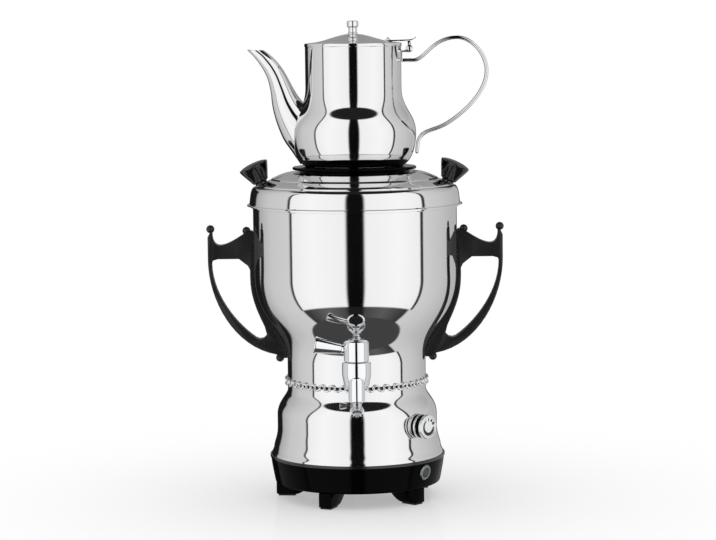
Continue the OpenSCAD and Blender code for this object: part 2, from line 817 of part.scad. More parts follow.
upper_bolt_z = drum_z + drum_h * 0.4;
lower_bolt_z = waist_top_z + 4.5;

// Plate of the handle in the X-Z plane, on the right side of the samovar
module handle_plate() {
  top_z = rim_z - 32;
  limb_z = rim_z - 53;
  foot_r = waist_r + 10.7;
  outer = concat(
    [[handle_reach - 2.6, top_z + 6], [handle_reach, top_z + 1], [handle_reach, limb_z]],
    curve([[handle_reach, limb_z], [handle_reach + 0.5, limb_z - 41],
           [foot_r + 42, waist_top_z + 11], [foot_r, waist_top_z + 3.7]], 16),
    [[foot_r - 4, waist_top_z], [waist_r - 4, waist_top_z]],
    [[waist_r - 4, waist_top_z + 20], [drum_r - 10, drum_z], [drum_r - 4, top_z]]);
  valley = concat(
    [[drum_r + 1.5, top_z + 7], [drum_r + 9, top_z + 4]],
    curve([[drum_r + 9, top_z + 4], [drum_r + 21, top_z - 4],
           [handle_reach - 3.5, top_z - 18], [handle_reach - 4.4, top_z + 6]], 12));
  opening = concat(
    [[drum_r + 14.5, limb_z], [handle_reach - 10, limb_z], [handle_reach - 4.6, limb_z - 1.6],
     [handle_reach - limb_w, limb_z - 5]],
    curve([[handle_reach - limb_w, limb_z - 5], [handle_reach - limb_w, limb_z - 36],
           [drum_r + 18.5, waist_top_z + 34], [drum_r - 1.6, waist_top_z + 20.2]], 14),
    [[drum_r - 5, waist_top_z + 19], [drum_r - 9, waist_top_z + 19.6], [drum_r - 12.5, waist_top_z + 23]],
    curve([[drum_r - 12.5, waist_top_z + 27], [drum_r - 5, waist_top_z + 43],
           [drum_r + spine_w, waist_top_z + 59], [drum_r + spine_w, waist_top_z + 81]], 10),
    [[drum_r + spine_w, limb_z - 11], [drum_r + spine_w + 2, limb_z - 7]]);
  rotate([90, 0, 0]) translate([0, 0, -handle_t / 2]) linear_extrude(handle_t) difference() {
    polygon(concat(outer, valley));
    polygon(opening);
  }
}

module handle(side) {
  top_z = rim_z - 32;
  bolt_hole = bolt_d + 2 * touch;
  color(black) on_axis() mirror([side < 0 ? 1 : 0, 0, 0]) difference() {
    union() {
      handle_plate();
      translate([handle_reach - 2.6, 0, top_z + 8.6]) sphere(d = ball_d);
      translate([drum_r + 6.8, 0, top_z + 6.6]) sphere(d = ball_d);
      translate([waist_r + 7.4, 0, waist_top_z - 0.4]) sphere(d = ball_d);
    }
    vessel_solid(handle_gap);
    translate([drum_r - 2, 0, upper_bolt_z]) rotate([0, 90, 0]) cylinder(d = bolt_hole, h = 14);
    translate([waist_r - 2, 0, lower_bolt_z]) rotate([0, 90, 0]) cylinder(d = bolt_hole, h = 14);
  }
}

module handle_left() { handle(-1); }
module handle_right() { handle(1); }

// Bolt heads sit inside the vessel on their seals
bolt_head_d = bolt_d * 2;

module handle_bolts() {
  head_back = sheet + seal_t + 0.3;
  color(steel) on_axis() handle_bolt_places() {
    translate([0, 0, -head_back - 2.4]) cylinder(d = bolt_head_d, h = 2.4);
    translate([0, 0, -head_back - 0.1]) cylinder(d = bolt_d, h = head_back + 11);
  }
}

module handle_seals() {
  color(rubber) on_axis() handle_bolt_places()
    translate([0, 0, -sheet - seal_t - 0.3]) ring(bolt_head_d / 2 + 0.6, bolt_d / 2 + touch, seal_t);
}

// ---------------------------------------------------------------- samovar lid

// Outer face of the lid, from the lip up to the steam opening
function lid_outline() = concat(
  [[lip_r, rim_z], [lip_r, rim_z + lip_t * 0.6], [lip_r - 0.5, rim_z + lip_t], [skirt_r, rim_z + lip_t + 0.4],
   [skirt_r - 1, stand_z - 19]],
  curve([[skirt_r - 1, stand_z - 19], [skirt_r - 2, stand_z - 12.5],
         [skirt_r - 3.5, stand_z - 10], [skirt_r - 7, stand_z - 9.6]], 8),
  [[skirt_r - 7.8, stand_z - 10.2], [skirt_r - 8.8, stand_z - 10.2], [skirt_r - 9.6, stand_z - 8.6]],
  curve([[skirt_r - 9.6, stand_z - 8.6], [skirt_r - 14, stand_z - 6], [skirt_r - 18, stand_z - 4.6],
         [crest_r + 19.5, stand_z - 3.6]], 6),
  [[crest_r + 18.6, stand_z - 2.4]],
  curve([[crest_r + 18.6, stand_z - 2.4], [crest_r + 12, stand_z + crest_up - 3], [crest_r + 6, stand_z + crest_up],
         [crest_r, stand_z + crest_up]], 8),
  [[crest_r - 1, stand_z + crest_up - 0.6], [crest_r - 1.4, stand_z + 0.4], [crest_r - 2, stand_z]],
  [[steam_r, stand_z]]
);

module lid_shell() {
  outline = lid_outline();
  inside = moved([for (i = [4 : len(outline) - 1]) outline[i]], [0, -sheet - 0.3]);
  steep = [for (p = inside) [min(p[0], skirt_r - 1.4 - sheet), p[1]]];
  color(steel) on_axis() difference() {
    rotate_extrude() polygon(concat(outline, turned_round(steep), [[skirt_r - 0.4 - sheet, rim_z + lip_t],
                                    [drum_r - sheet + 0.4, rim_z + lip_t], [drum_r - sheet + 0.4, rim_z]]));
    lid_knob_places() translate([0, 0, -8]) cylinder(d = 4 + 2 * touch, h = 16);
  }
}

// Ring that keeps the lid in the middle of the vessel, welded under the lip
module lid_locating_ring() {
  ring_r = drum_r - sheet - ring_gap;
  color(steel) on_axis() translate([0, 0, rim_z - ring_h]) rotate_extrude() polygon([
    [ring_r - sheet, 0.6], [ring_r - sheet + 0.4, 0], [ring_r, 0.6], [ring_r, ring_h + lip_t],
    [skirt_r - 2.4 - sheet, ring_h + lip_t], [skirt_r - 2.4 - sheet, ring_h + lip_t + sheet],
    [ring_r - sheet, ring_h + lip_t + sheet]]);
}

// Feet of the two lid knobs: +Z points out along the knob
module lid_knob_places() {
  for (side = [-1, 1])
    translate([side * grip_r, 0, stand_z - 9.4]) rotate([0, side * grip_tilt, 0]) children();
}

module lid_top_cut() {
  rotate_extrude() polygon(concat([[0, rim_z]], lid_outline(), [[0, stand_z]]));
}

module lid_knob(side) {
  color(black) on_axis() difference() {
    translate([side * grip_r, 0, stand_z - 9.4]) rotate([0, side * grip_tilt, 0]) difference() {
      rotate_extrude() polygon(concat(
        [[0, -3], [grip_foot_d / 2 - 2, -3], [grip_foot_d / 2 - 2, 3.6], [grip_foot_d / 2, 4.8],
         [grip_d / 2, grip_l - 1.2]],
        curve([[grip_d / 2, grip_l - 1.2], [grip_d / 3, grip_l + 1.4], [grip_d / 6, grip_l + 1.8], [0, grip_l + 1.8]], 6)));
      translate([0, 0, -4]) cylinder(d = 4, h = 16);
    }
    lid_top_cut();
  }
}

module lid_knob_left() { lid_knob(-1); }
module lid_knob_right() { lid_knob(1); }

module lid_knob_screws() {
  color(steel) on_axis() lid_knob_places() {
    translate([0, 0, -1.8]) cylinder(d = 8, h = 2.2);
    translate([0, 0, 0.2]) cylinder(d = 4, h = 9.8);
  }
}

// ---------------------------------------------------------------- teapot stand

module teapot_stand() {
  low_r = crest_r - 3;
  hole_r = steam_r - 4;
  color(black) on_axis() translate([0, 0, stand_z]) rotate_extrude() polygon([
    [hole_r, 0], [hole_r, stand_h], [stand_r - 0.6, stand_h],
    [stand_r, stand_h - 0.6], [stand_r, stand_h - flange_t + 0.5], [stand_r - 0.5, stand_h - flange_t],
    [groove_r, stand_h - flange_t], [groove_r, flange_t], [low_r - 0.5, flange_t], [low_r, flange_t - 0.5],
    [low_r, 0]]);
}

// ---------------------------------------------------------------- teapot

function pot_outline() = concat(
  [[pot_foot_r - 1.5, pot_z], [pot_foot_r, pot_z + 0.8]],
  curve([[pot_foot_r, pot_z + 0.8], [pot_foot_r + 7.5, pot_z + 5.5], [bulge_r, pot_z + bulge_up - 16],
         [bulge_r, pot_z + bulge_up]], 12),
  curve([[bulge_r, pot_z + bulge_up], [bulge_r, pot_z + bulge_up + 19],
         [pot_neck_r, pot_z + neck_up - 22], [pot_neck_r, pot_z + neck_up]], 16),
  [[pot_neck_r, pot_rim_z]]
);

module pot_solid(grow) {
  rotate_extrude() polygon(concat([[0, pot_z]], moved(pot_outline(), [grow, 0]), [[0, pot_rim_z]]));
}

module teapot_body() {
  outline = pot_outline();
  wall = [for (i = [1 : len(outline) - 1]) outline[i]];
  color(steel) on_axis() difference() {
    rotate_extrude() polygon(concat(wall, turned_round(moved(wall, [-pot_sheet, 0]))));
    strainer_holes();
  }
}

// Holes of the strainer, in the wall behind the spout
module strainer_holes() {
  step = strain_d + 1.6;
  for (row = [-1, 0, 1], col = [-1, 0, 1])
    translate([0, col * step, pot_z + bulge_up + 12 + row * step]) rotate([0, -90, 0])
      cylinder(d = strain_d, h = bulge_r + 8, $fn = 24);
}

module teapot_floor() {
  color(steel) on_axis() rotate_extrude() polygon([
    [0, pot_z], [pot_foot_r - 1.5, pot_z], [pot_foot_r - touch, pot_z + 0.75],
    [pot_foot_r - pot_sheet - touch, pot_z + 0.75], [pot_foot_r - pot_sheet - touch, pot_z + 1.2], [0, pot_z + 1.2]]);
}

// Middle line of the spout: distance out from the axis, height over the bottom, radius there
spout_line = [
  [36, mouth_up - 102, 21], [44, mouth_up - 90, 21], [53, mouth_up - 77.5, 20.5], [61, mouth_up - 65, 17.4],
  [66.8, mouth_up - 53, 14.4], [71.4, mouth_up - 39, 11.2], [75.8, mouth_up - 27, 9.4], [81, mouth_up - 17.5, 8.2],
  [87.4, mouth_up - 9.5, 7], [94, mouth_up - 3, 5.6], [101, mouth_up + 3, 4.7], [108, mouth_up + 9, 4.7]];

// Smooth line through the points, with a few steps between each two
function smooth(p, t) =
  let (n = len(p) - 1, i = min(floor(t), n - 1), f = t - i,
       a = p[max(i - 1, 0)], b = p[i], c = p[i + 1], d = p[min(i + 2, n)])
  b + f * 0.5 * (c - a) + f * f * (a - 2.5 * b + 2 * c - 0.5 * d) + f * f * f * 0.5 * (d - a + 3 * (b - c));
spout_steps = 3;
function spout_at(t) = smooth(spout_line, t);

module spout_tube(thinner) {
  sides = 24;
  rings = (len(spout_line) - 1) * spout_steps;
  points = [for (k = [0 : rings])
    let (t = k / spout_steps, here = spout_at(t), ahead = spout_at(min(t + 0.05, len(spout_line) - 1)),
         behind = spout_at(max(t - 0.05, 0)), run = ahead - behind, slope = atan2(run[1], run[0]),
         r = here[2] - thinner)
    for (s = [0 : sides - 1])
      let (a = s * 360 / sides)
      [-(here[0] - r * cos(a) * sin(slope)), r * sin(a), here[1] + r * cos(a) * cos(slope)]];
  faces = concat(
    [[for (s = [0 : sides - 1]) s]],
    [for (k = [0 : rings - 1], s = [0 : sides - 1])
      let (n = (s + 1) % sides) each [[k * sides + s, k * sides + sides + s, k * sides + sides + n],
                                      [k * sides + s, k * sides + sides + n, k * sides + n]]],
    [[for (s = [sides - 1 : -1 : 0]) rings * sides + s]]);
  translate([0, 0, pot_z]) polyhedron(points, faces, convexity = 4);
}

module teapot_spout() {
  color(steel) on_axis() difference() {
    spout_tube(0);
    spout_tube(spout_wall);
    pot_solid(0.05);
    translate([-200, -50, pot_z + mouth_up]) cube([200, 100, 60]);
  }
}

// Middle line of the handle strap, from the neck round to the bulge
function strap_line() =
  let (top = pot_z + pot_h - 14, back = strap_reach)
  concat(
    [[pot_neck_r - 2, top], [pot_neck_r + 12, top]],
    curve([[pot_neck_r + 12, top], [pot_neck_r + 24, top], [back - 54, top + 22], [back - 29.3, top + 22]], 10),
    curve([[back - 29.3, top + 22], [back - 14, top + 22], [back, top + 5], [back, top - 11]], 10),
    curve([[back, top - 11], [back, top - 31], [back - 20, top - 51], [back - 40, top - 63]], 10),
    curve([[back - 40, top - 63], [back - 54, top - 71], [bulge_r + 3.4, pot_z + bulge_up + 3],
           [bulge_r + 1.5, pot_z + bulge_up - 12]], 9),
    [[bulge_r + 0.4, pot_z + bulge_up - 21]]);

// Line moved to its left by a distance
function beside(line, by) = [for (i = [0 : len(line) - 1])
  let (run = line[min(i + 1, len(line) - 1)] - line[max(i - 1, 0)], l = norm(run))
  line[i] + by * [-run[1], run[0]] / l];

module teapot_handle() {
  line = strap_line();
  color(steel) on_axis() difference() {
    rotate([90, 0, 0]) translate([0, 0, -strap_w / 2]) linear_extrude(strap_w)
      polygon(concat(beside(line, strap_t / 2), turned_round(beside(line, -strap_t / 2))));
    pot_solid(touch);
  }
}

// ---------------------------------------------------------------- teapot lid and hinge

knuckle_r = knuckle_d / 2;
ear_l = 4;
side_gap = 0.3;

// Outer knuckles with a strap that runs down the neck
module hinge_bracket() {
  strap_low = hinge_z - 13;
  strap_out = hinge_x - knuckle_r - 1.4;
  color(steel) on_axis() difference() {
    union() {
      for (side = [-1, 1]) translate([0, side * (knuckle_l / 2 + side_gap + ear_l / 2), 0]) {
        translate([hinge_x, 0, hinge_z]) rotate([90, 0, 0]) cylinder(d = knuckle_d, h = ear_l, center = true);
        translate([pot_neck_r - 1, -ear_l / 2, hinge_z - knuckle_r]) cube([hinge_x - pot_neck_r + 1, ear_l, 2.4]);
      }
      translate([pot_neck_r - 1, -knuckle_l / 2 - side_gap - ear_l, strap_low])
        cube([2.2, knuckle_l + 2 * (side_gap + ear_l), hinge_z - knuckle_r - strap_low]);
    }
    pot_solid(touch);
    translate([hinge_x, 0, hinge_z]) rotate([90, 0, 0]) cylinder(d = pin_d, h = 60, center = true);
    translate([pot_neck_r - 1, -strap_w / 2 - touch, strap_line()[0][1] - strap_t / 2 - touch])
      cube([20, strap_w + 2 * touch, strap_t + 2 * touch]);
  }
}

module hinge_pin() {
  pin_l = knuckle_l + 2 * (side_gap + ear_l) + 1;
  color(chrome) on_axis() translate([hinge_x, 0, hinge_z]) rotate([90, 0, 0]) {
    cylinder(d = pin_d, h = pin_l, center = true);
    for (side = [-1, 1]) translate([0, 0, side * (pin_l / 2 + 0.1)]) cylinder(d = pin_d + 1.6, h = 1, center = true);
  }
}

lid_out_r = pot_neck_r + pot_lid_out;
lid_flat_z = pot_rim_z + pot_lid_rim;

// Outer face of the teapot lid, from the edge of its rim to the middle
function pot_lid_top() = concat(
  [[lid_out_r - 1.2, lid_flat_z], [lid_out_r - 7, lid_flat_z + 0.6]],
  curve([[lid_out_r - 7, lid_flat_z + 0.6], [lid_out_r - 20, lid_flat_z + 1.6],
         [14, lid_flat_z + dome_h], [3, lid_flat_z + dome_h]], 12));

module teapot_lid() {
  plug_r = pot_neck_r - pot_sheet - 0.5;
  top = pot_lid_top();
  dome = [for (i = [2 : len(top) - 1]) top[i]];
  color(steel) on_axis() difference() {
    rotate_extrude() polygon(concat(
      [[plug_r, pot_rim_z], [lid_out_r - 0.3, pot_rim_z], [lid_out_r, pot_rim_z + 0.4], [lid_out_r, lid_flat_z - 0.8]],
      top, [[0, lid_flat_z + dome_h], [0, lid_flat_z + dome_h - 1]],
      turned_round(moved(dome, [0, -1])), [[plug_r - pot_sheet, lid_flat_z - 1], [plug_r - pot_sheet, pot_rim_z - 5],
      [plug_r, pot_rim_z - 5]]));
    translate([0, 0, lid_flat_z]) cylinder(d = 3, h = 20);
  }
}

// Leaf on the lid, with the middle knuckle and the curled thumb lever
module lid_hinge_leaf() {
  leaf_in = lid_out_r - 17;
  leaf_w = knuckle_l;
  rise = curve([[hinge_x - 2, lid_flat_z + 2.2], [hinge_x + 3, lid_flat_z + 2.6], [hinge_x + 5.4, lid_flat_z + 3.2],
                [hinge_x + 6.4, lid_flat_z + 5.2]], 8);
  spine = concat([[lid_out_r - 9, lid_flat_z + 1.9], [hinge_x - 2, lid_flat_z + 2.2]], rise);
  color(steel) on_axis() difference() {
    union() {
      translate([0, leaf_w / 2, 0]) rotate([90, 0, 0]) linear_extrude(leaf_w) polygon(concat(
        [[leaf_in, lid_flat_z + 3.3]], beside(spine, 0.7), turned_round(beside(spine, -0.7)), [[leaf_in, lid_flat_z - 1]]));
      translate([leaf_in + 3.5, 0, lid_flat_z]) cylinder(d = 5, h = 3.4);
      translate([leaf_in + 3.5, 0, lid_flat_z + 3.4]) sphere(d = 3.6);
      translate([hinge_x, 0, hinge_z]) rotate([90, 0, 0]) cylinder(d = knuckle_d, h = knuckle_l, center = true);
      translate([hinge_x - 2, -knuckle_l / 2, hinge_z]) cube([3.4, knuckle_l, lid_flat_z + 2.2 - hinge_z]);
    }
    rotate_extrude() polygon(concat(
      [[0, pot_rim_z - 6], [lid_out_r + touch, pot_rim_z - 6], [lid_out_r + touch, lid_flat_z - 0.8]],
      moved(pot_lid_top(), [0, touch]), [[0, lid_flat_z + dome_h + touch]]));
    translate([hinge_x, 0, hinge_z]) rotate([90, 0, 0]) cylinder(d = pin_d + 2 * pin_gap, h = 60, center = true);
  }
}

module teapot_lid_button() {
  z0 = lid_flat_z + dome_h;
  color(steel) on_axis() translate([0, 0, z0]) {
    rotate_extrude() polygon(concat(
      [[0, 0], [4.7, 0], [4.7, 1.4], [4.2, 2], [4.2, button_h * 0.52], [button_d / 2 - 0.5, button_h * 0.54],
       [button_d / 2, button_h * 0.58], [button_d / 2, button_h - 1]],
      curve([[button_d / 2, button_h - 1], [button_d / 2, button_h - 0.2], [button_d / 2 - 0.6, button_h],
             [button_d / 2 - 1.6, button_h]], 5), [[0, button_h]]));
    translate([0, 0, -3]) cylinder(d = 3 - 2 * touch, h = 4);
  }
}

base_shell();
feet();
foot_pads();
bottom_cover();
cover_screws();
lower_housing();
vessel_body();
vessel_floor();
waist_chain();
heater_plate();
heating_coil();
thermal_cutout();
thermostat_body();
thermostat_nut();
terminal_block();
wiring();
cord_gland();
lamp_bezel();
lamp_lens();
lamp_holder();
knob_escutcheon();
thermostat_shaft();
knob_core();
knob_ring();
knob_cap();
tap_body();
tap_seals();
tap_nut();
tap_plug();
tap_head();
tap_lever();
handle_left();
handle_right();
handle_bolts();
handle_seals();
lid_shell();
lid_locating_ring();
lid_knob_left();
lid_knob_right();
lid_knob_screws();
teapot_stand();
teapot_body();
teapot_floor();
teapot_spout();
teapot_handle();
hinge_bracket();
hinge_pin();
teapot_lid();
lid_hinge_leaf();
teapot_lid_button();
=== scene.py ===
# %% [markdown]
# # A steel samovar with its teapot
#
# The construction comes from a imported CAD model: every piece at its real size, with its joints.
# This file gives it its looks. Polished shells, the tap, the knobs and the chain are modelled again
# here at the same sizes, because a mirror shows the smallest flat in a surface. Other pieces keep
# their CAD shape and only get rounded edges. The frame is in metres, +Z up, and the tap faces -Y.

# %% Load the frame
import json
from math import atan2, cos, degrees, pi, radians, sin

import bpy
from mathutils import Matrix, Vector


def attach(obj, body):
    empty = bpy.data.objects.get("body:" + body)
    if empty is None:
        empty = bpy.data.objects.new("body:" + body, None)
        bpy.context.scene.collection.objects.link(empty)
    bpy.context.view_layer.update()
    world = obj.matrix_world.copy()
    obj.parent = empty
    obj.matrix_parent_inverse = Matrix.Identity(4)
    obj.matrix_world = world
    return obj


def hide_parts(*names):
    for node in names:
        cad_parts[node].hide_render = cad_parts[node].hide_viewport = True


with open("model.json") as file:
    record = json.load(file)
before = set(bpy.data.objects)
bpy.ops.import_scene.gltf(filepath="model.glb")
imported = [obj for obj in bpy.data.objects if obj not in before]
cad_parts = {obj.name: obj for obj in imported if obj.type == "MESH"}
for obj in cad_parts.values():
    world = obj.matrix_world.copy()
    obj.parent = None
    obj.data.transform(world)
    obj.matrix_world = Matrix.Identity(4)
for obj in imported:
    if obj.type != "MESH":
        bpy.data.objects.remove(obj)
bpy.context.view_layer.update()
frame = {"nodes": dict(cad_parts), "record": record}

# %% [markdown]
# ## Sizes
# The drawing of a samovar is in millimetres, so sizes stay in millimetres here and one factor
# turns them to metres. The levels and radii below are those of the CAD model. The samovar's own
# axis lies a little behind the origin, because the tap reaches out in front.

# %% Named sizes
MM = 0.001
TOUCHING = 0.004 * MM  # points closer than this are one point
AXIS_Y = 6.35          # the samovar axis, behind the origin
BASE_Z, BASE_TOP_Z, SEAT_Z, SEAM_Z, WAIST_TOP_Z = 16, 44.5, 42.5, 118, 141
DRUM_Z, RIM_Z, STAND_Z = 225, 294, 323
POT_Z, POT_RIM_Z = 332, 450.5
WAIST_R, DRUM_R, HOUSING_R, FLARE_R = 69.2, 101.6, 80, 86
SHEET, POT_SHEET = 1.0, 0.8
TAP_Y, INLET_Z = AXIS_Y - 104, 135
KNOB_TURN, KNOB_Z, KNOB_R, KNOB_OUT = 47.5, 79, 12, 15.5
print("axis at y =", AXIS_Y, "mm, rim at z =", RIM_Z, "mm")

# %% [markdown]
# ## Drawing a profile
# A spun shell is drawn as half of its section. Long sweeps in it are curves with four control
# points, sampled every millimetre or two, so that the turned surface has no visible flats.

# %% Points of a curve
def curve(a, b, c, d, steps=24):
    """Points along a curve with four control points, without its first one."""
    points = []
    for i in range(1, steps + 1):
        t = i / steps
        weights = ((1 - t) ** 3, 3 * (1 - t) ** 2 * t, 3 * (1 - t) * t * t, t ** 3)
        points.append(tuple(sum(w * p[k] for w, p in zip(weights, (a, b, c, d))) for k in (0, 1)))
    return points


def shifted(points, dr, dz=0.0):
    return [(r + dr, z + dz) for r, z in points]


print("a quarter sweep has", len(curve((0, 0), (0, 1), (1, 2), (2, 2))), "points")


# %% [markdown]
# ## Turning a profile on a lathe
# By hand this is: add a small plane, merge it to one vertex, extrude that vertex from point to
# point along the section, and spin the line round the axis. The last ring lies on the first one,
# so doubles are merged, and the normals are then recalculated so that they all point outwards.

# %% Lathe helpers
def only(*objects):
    """Select these objects and nothing else; the last one is active."""
    bpy.ops.object.select_all(action="DESELECT")
    for o in objects:
        o.select_set(True)
        bpy.context.view_layer.objects.active = o


def draw_line(name, points):
    """A chain of edges through points in millimetres, drawn by extruding one vertex."""
    first, *rest = [Vector(p) * MM for p in points]
    bpy.ops.object.select_all(action="DESELECT")
    bpy.ops.mesh.primitive_plane_add(size=MM)
    piece = bpy.context.active_object
    piece.name = piece.data.name = name
    bpy.ops.object.mode_set(mode="EDIT")
    bpy.ops.mesh.merge(type="CENTER")
    bpy.ops.transform.translate(value=first)
    here = first
    for point in rest:
        bpy.ops.mesh.extrude_region_move(TRANSFORM_OT_translate={"value": point - here})
        here = point
    bpy.ops.object.mode_set(mode="OBJECT")
    return piece


def shade(piece, angle=32):
    only(piece)
    bpy.ops.object.shade_smooth_by_angle(angle=radians(angle))
    return piece


def spun(name, profile, steps=192, closed=True):
    """A solid turned from (radius, height) points, on an axis through the origin."""
    loop = profile + [profile[0]] if closed else profile
    piece = draw_line(name, [(r, 0, z) for r, z in loop])
    bpy.ops.object.mode_set(mode="EDIT")
    bpy.ops.mesh.select_all(action="SELECT")
    bpy.ops.mesh.spin(steps=steps, angle=2 * pi, center=(0, 0, 0), axis=(0, 0, 1))
    bpy.ops.mesh.select_all(action="SELECT")
    bpy.ops.mesh.remove_doubles(threshold=TOUCHING)
    bpy.ops.mesh.normals_make_consistent(inside=False)
    bpy.ops.object.mode_set(mode="OBJECT")
    return shade(piece)


def placed(piece, matrix):
    """Put a piece's place into its mesh, so that its object stays at the origin."""
    piece.data.transform(matrix)
    piece.data.update()
    return piece


ON_AXIS = Matrix.Translation((0, AXIS_Y * MM, 0))


def shell_of(outer, wall):
    """Closed section of a sheet that keeps its wall towards the axis."""
    return outer + [(r - wall, z) for r, z in reversed(outer)]


print("lathe ready")


# %% [markdown]
# ## Pieces that keep their CAD shape
# A CAD node is a set of loose triangles. A copy is merged, its flat faces are joined, and its
# sharp edges are rounded by a Bevel modifier, because no real edge is perfectly sharp and the
# thin highlight along it is what makes a moulding or a casting look real.

# %% Copy a CAD node and round its edges
def rounded(node, radius=0.4, segments=3, limit=35):
    """A copy of a CAD node, merged, with the edges sharper than the limit rounded to a radius in mm."""
    source = frame["nodes"][node]
    piece = bpy.data.objects.new("shown_" + node, source.data.copy())
    bpy.context.scene.collection.objects.link(piece)
    piece.data.materials.clear()
    only(piece)
    bpy.ops.object.mode_set(mode="EDIT")
    bpy.ops.mesh.select_all(action="SELECT")
    bpy.ops.mesh.remove_doubles(threshold=TOUCHING / 2)
    bpy.ops.mesh.dissolve_limited(angle_limit=radians(0.5))
    bpy.ops.object.mode_set(mode="OBJECT")
    if radius:
        bevel = piece.modifiers.new("edges", "BEVEL")
        bevel.width = radius * MM
        bevel.segments = segments
        bevel.limit_method = "ANGLE"
        bevel.angle_limit = radians(limit)
        bevel.harden_normals = False
        bpy.ops.object.modifier_apply(modifier=bevel.name)
    return shade(piece, limit)


def finish_piece(piece, body, material, slot, *nodes):
    """Give a piece its finish, its body, and the CAD nodes that it stands for."""
    piece.data.materials.clear()
    piece.data.materials.append(material)
    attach(piece, body)
    if nodes:
        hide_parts(*nodes)
    print(piece.name, len(piece.data.polygons), "faces on", body)
    return piece


# %% [markdown]
# ## Finishes
# Each finish starts from the real material. Colours are sRGB hex values, turned to linear light
# by one function. Pattern sizes are in millimetres: a noise of scale 1000 / size has features of
# that size, because Object coordinates are in metres.

# %% Colour and node helpers
def linear(hex_colour):
    channels = [int(hex_colour[i:i + 2], 16) / 255 for i in (1, 3, 5)]
    return tuple(c / 12.92 if c <= 0.04045 else ((c + 0.055) / 1.055) ** 2.4 for c in channels) + (1.0,)


def grey(value):
    """A neutral colour of a brightness in linear light."""
    return (value, value, value, 1.0)


def per_mm(size):
    return 1000 / size


def add(tree, kind, inputs=None, **settings):
    """Add a node, set it, and link or fill its inputs."""
    node = tree.nodes.new(kind)
    for name, value in settings.items():
        setattr(node, name, value)
    for socket, value in (inputs or {}).items():
        if isinstance(value, bpy.types.NodeSocket):
            tree.links.new(value, node.inputs[socket])
        else:
            node.inputs[socket].default_value = value
    return node


def finish(name, base, roughness, metallic=0.0, smudge=(60, 0.03), grain=(1.5, 0.02), bump=0.0, tone=0.06,
           stretch=(1, 1, 1), **sockets):
    """A surface with two sizes of unevenness: wide smudges and a fine grain, both felt in the gloss.

    smudge and grain are (size in mm, how much they add to the roughness).
    bump is the height of the grain in mm, and tone is how far the colour drifts.
    """
    material = bpy.data.materials.new(name)
    material.use_nodes = True
    tree = material.node_tree
    shader = tree.nodes["Principled BSDF"]
    place = add(tree, "ShaderNodeTexCoord").outputs["Object"]
    brushed = add(tree, "ShaderNodeMapping", {"Vector": place, "Scale": stretch}).outputs["Vector"]
    wide = add(tree, "ShaderNodeTexNoise", {"Vector": place, "Scale": per_mm(smudge[0]), "Detail": 3.0,
                                            "Roughness": 0.6}).outputs["Fac"]
    fine = add(tree, "ShaderNodeTexNoise", {"Vector": brushed, "Scale": per_mm(grain[0]),
                                            "Detail": 2.0}).outputs["Fac"]
    low = add(tree, "ShaderNodeMath", {0: wide, 1: smudge[1], 2: roughness - smudge[1] / 2},
              operation="MULTIPLY_ADD").outputs[0]
    rough = add(tree, "ShaderNodeMath", {0: fine, 1: grain[1], 2: low}, operation="MULTIPLY_ADD").outputs[0]
    tree.links.new(rough, shader.inputs["Roughness"])
    colour = linear(base)
    darker = tuple(c * (1 - tone) for c in colour[:3]) + (1.0,)
    drift = add(tree, "ShaderNodeMix", {"Factor": wide, "A": darker, "B": colour}, data_type="RGBA")
    tree.links.new(drift.outputs["Result"], shader.inputs["Base Color"])
    shader.inputs["Metallic"].default_value = metallic
    for socket, value in sockets.items():
        shader.inputs[socket.replace("_", " ")].default_value = value
    if bump:
        height = add(tree, "ShaderNodeBump", {"Height": fine, "Distance": bump * MM, "Strength": 1.0})
        tree.links.new(height.outputs["Normal"], shader.inputs["Normal"])
    return material


# %% [markdown]
# ## Metals, mouldings and small parts
# Steel and chrome keep hardly any colour of their own and differ in how sharply they mirror. The
# black mouldings differ in their skin: buffed, moulded, or worn dull by hands and steam. The CAD
# nodes get the same finishes, so that what shows inside the lid or under the base is finished too.

# %% The materials of the samovar
# Stainless steel 18/10, spun and then buffed to a mirror: nearly colourless, with a faint haze
# where the cloth has left fine lines round the body.
polished_steel = finish("buffed stainless steel", "#E4E4E5", 0.045, 1.0, smudge=(55, 0.035),
                        grain=(1.2, 0.02), stretch=(0.15, 0.15, 1.6), tone=0.03)
# Bright nickel-chrome plate over brass, on the tap, the chain and the hinge pin: a little cooler
# than steel.
chrome_plate = finish("bright chrome plate", "#E9EBED", 0.035, 1.0, smudge=(14, 0.03), grain=(0.8, 0.015),
                      tone=0.03)
# The same plate over a satin-blasted ground, on the knob: it blurs the stripes of the room to one
# pale grey.
satin_chrome = finish("satin chrome plate", "#F2F3F4", 0.34, 1.0, smudge=(10, 0.05), grain=(0.5, 0.04),
                      tone=0.03)
# Pale stoving lacquer on the face of the knob: even, with a soft sheen.
face_lacquer = finish("silver-white lacquer", "#E9EAEB", 0.3, smudge=(8, 0.05), grain=(0.5, 0.04), tone=0.04)
# Phenolic moulding of the base, the feet and the teapot stand: deep black, with a smooth skin and a
# soft ripple from the tool.
black_plastic = finish("moulded black phenolic", "#040405", 0.1, smudge=(24, 0.08), grain=(1.0, 0.05),
                       bump=0.004, tone=0.3, Specular_IOR_Level=0.03)
# The same moulding where it was buffed after pressing: the lid knobs and the bead of the base.
black_gloss = finish("buffed black phenolic", "#050506", 0.17, smudge=(24, 0.05), grain=(1.0, 0.03), tone=0.3,
                     Specular_IOR_Level=0.7)
# The side handles: the same moulding with the dull skin that hands and steam leave on it.
handle_black = finish("worn black phenolic", "#1D1D1E", 0.22, smudge=(30, 0.12), grain=(1.1, 0.05),
                      bump=0.005, tone=0.35, Specular_IOR_Level=0.4)
# The lamp's bezel has been wiped dull.
bezel_plate = finish("dulled nickel plate", "#8B8D8F", 0.24, 1.0, smudge=(5, 0.1), grain=(0.5, 0.05),
                     tone=0.15)
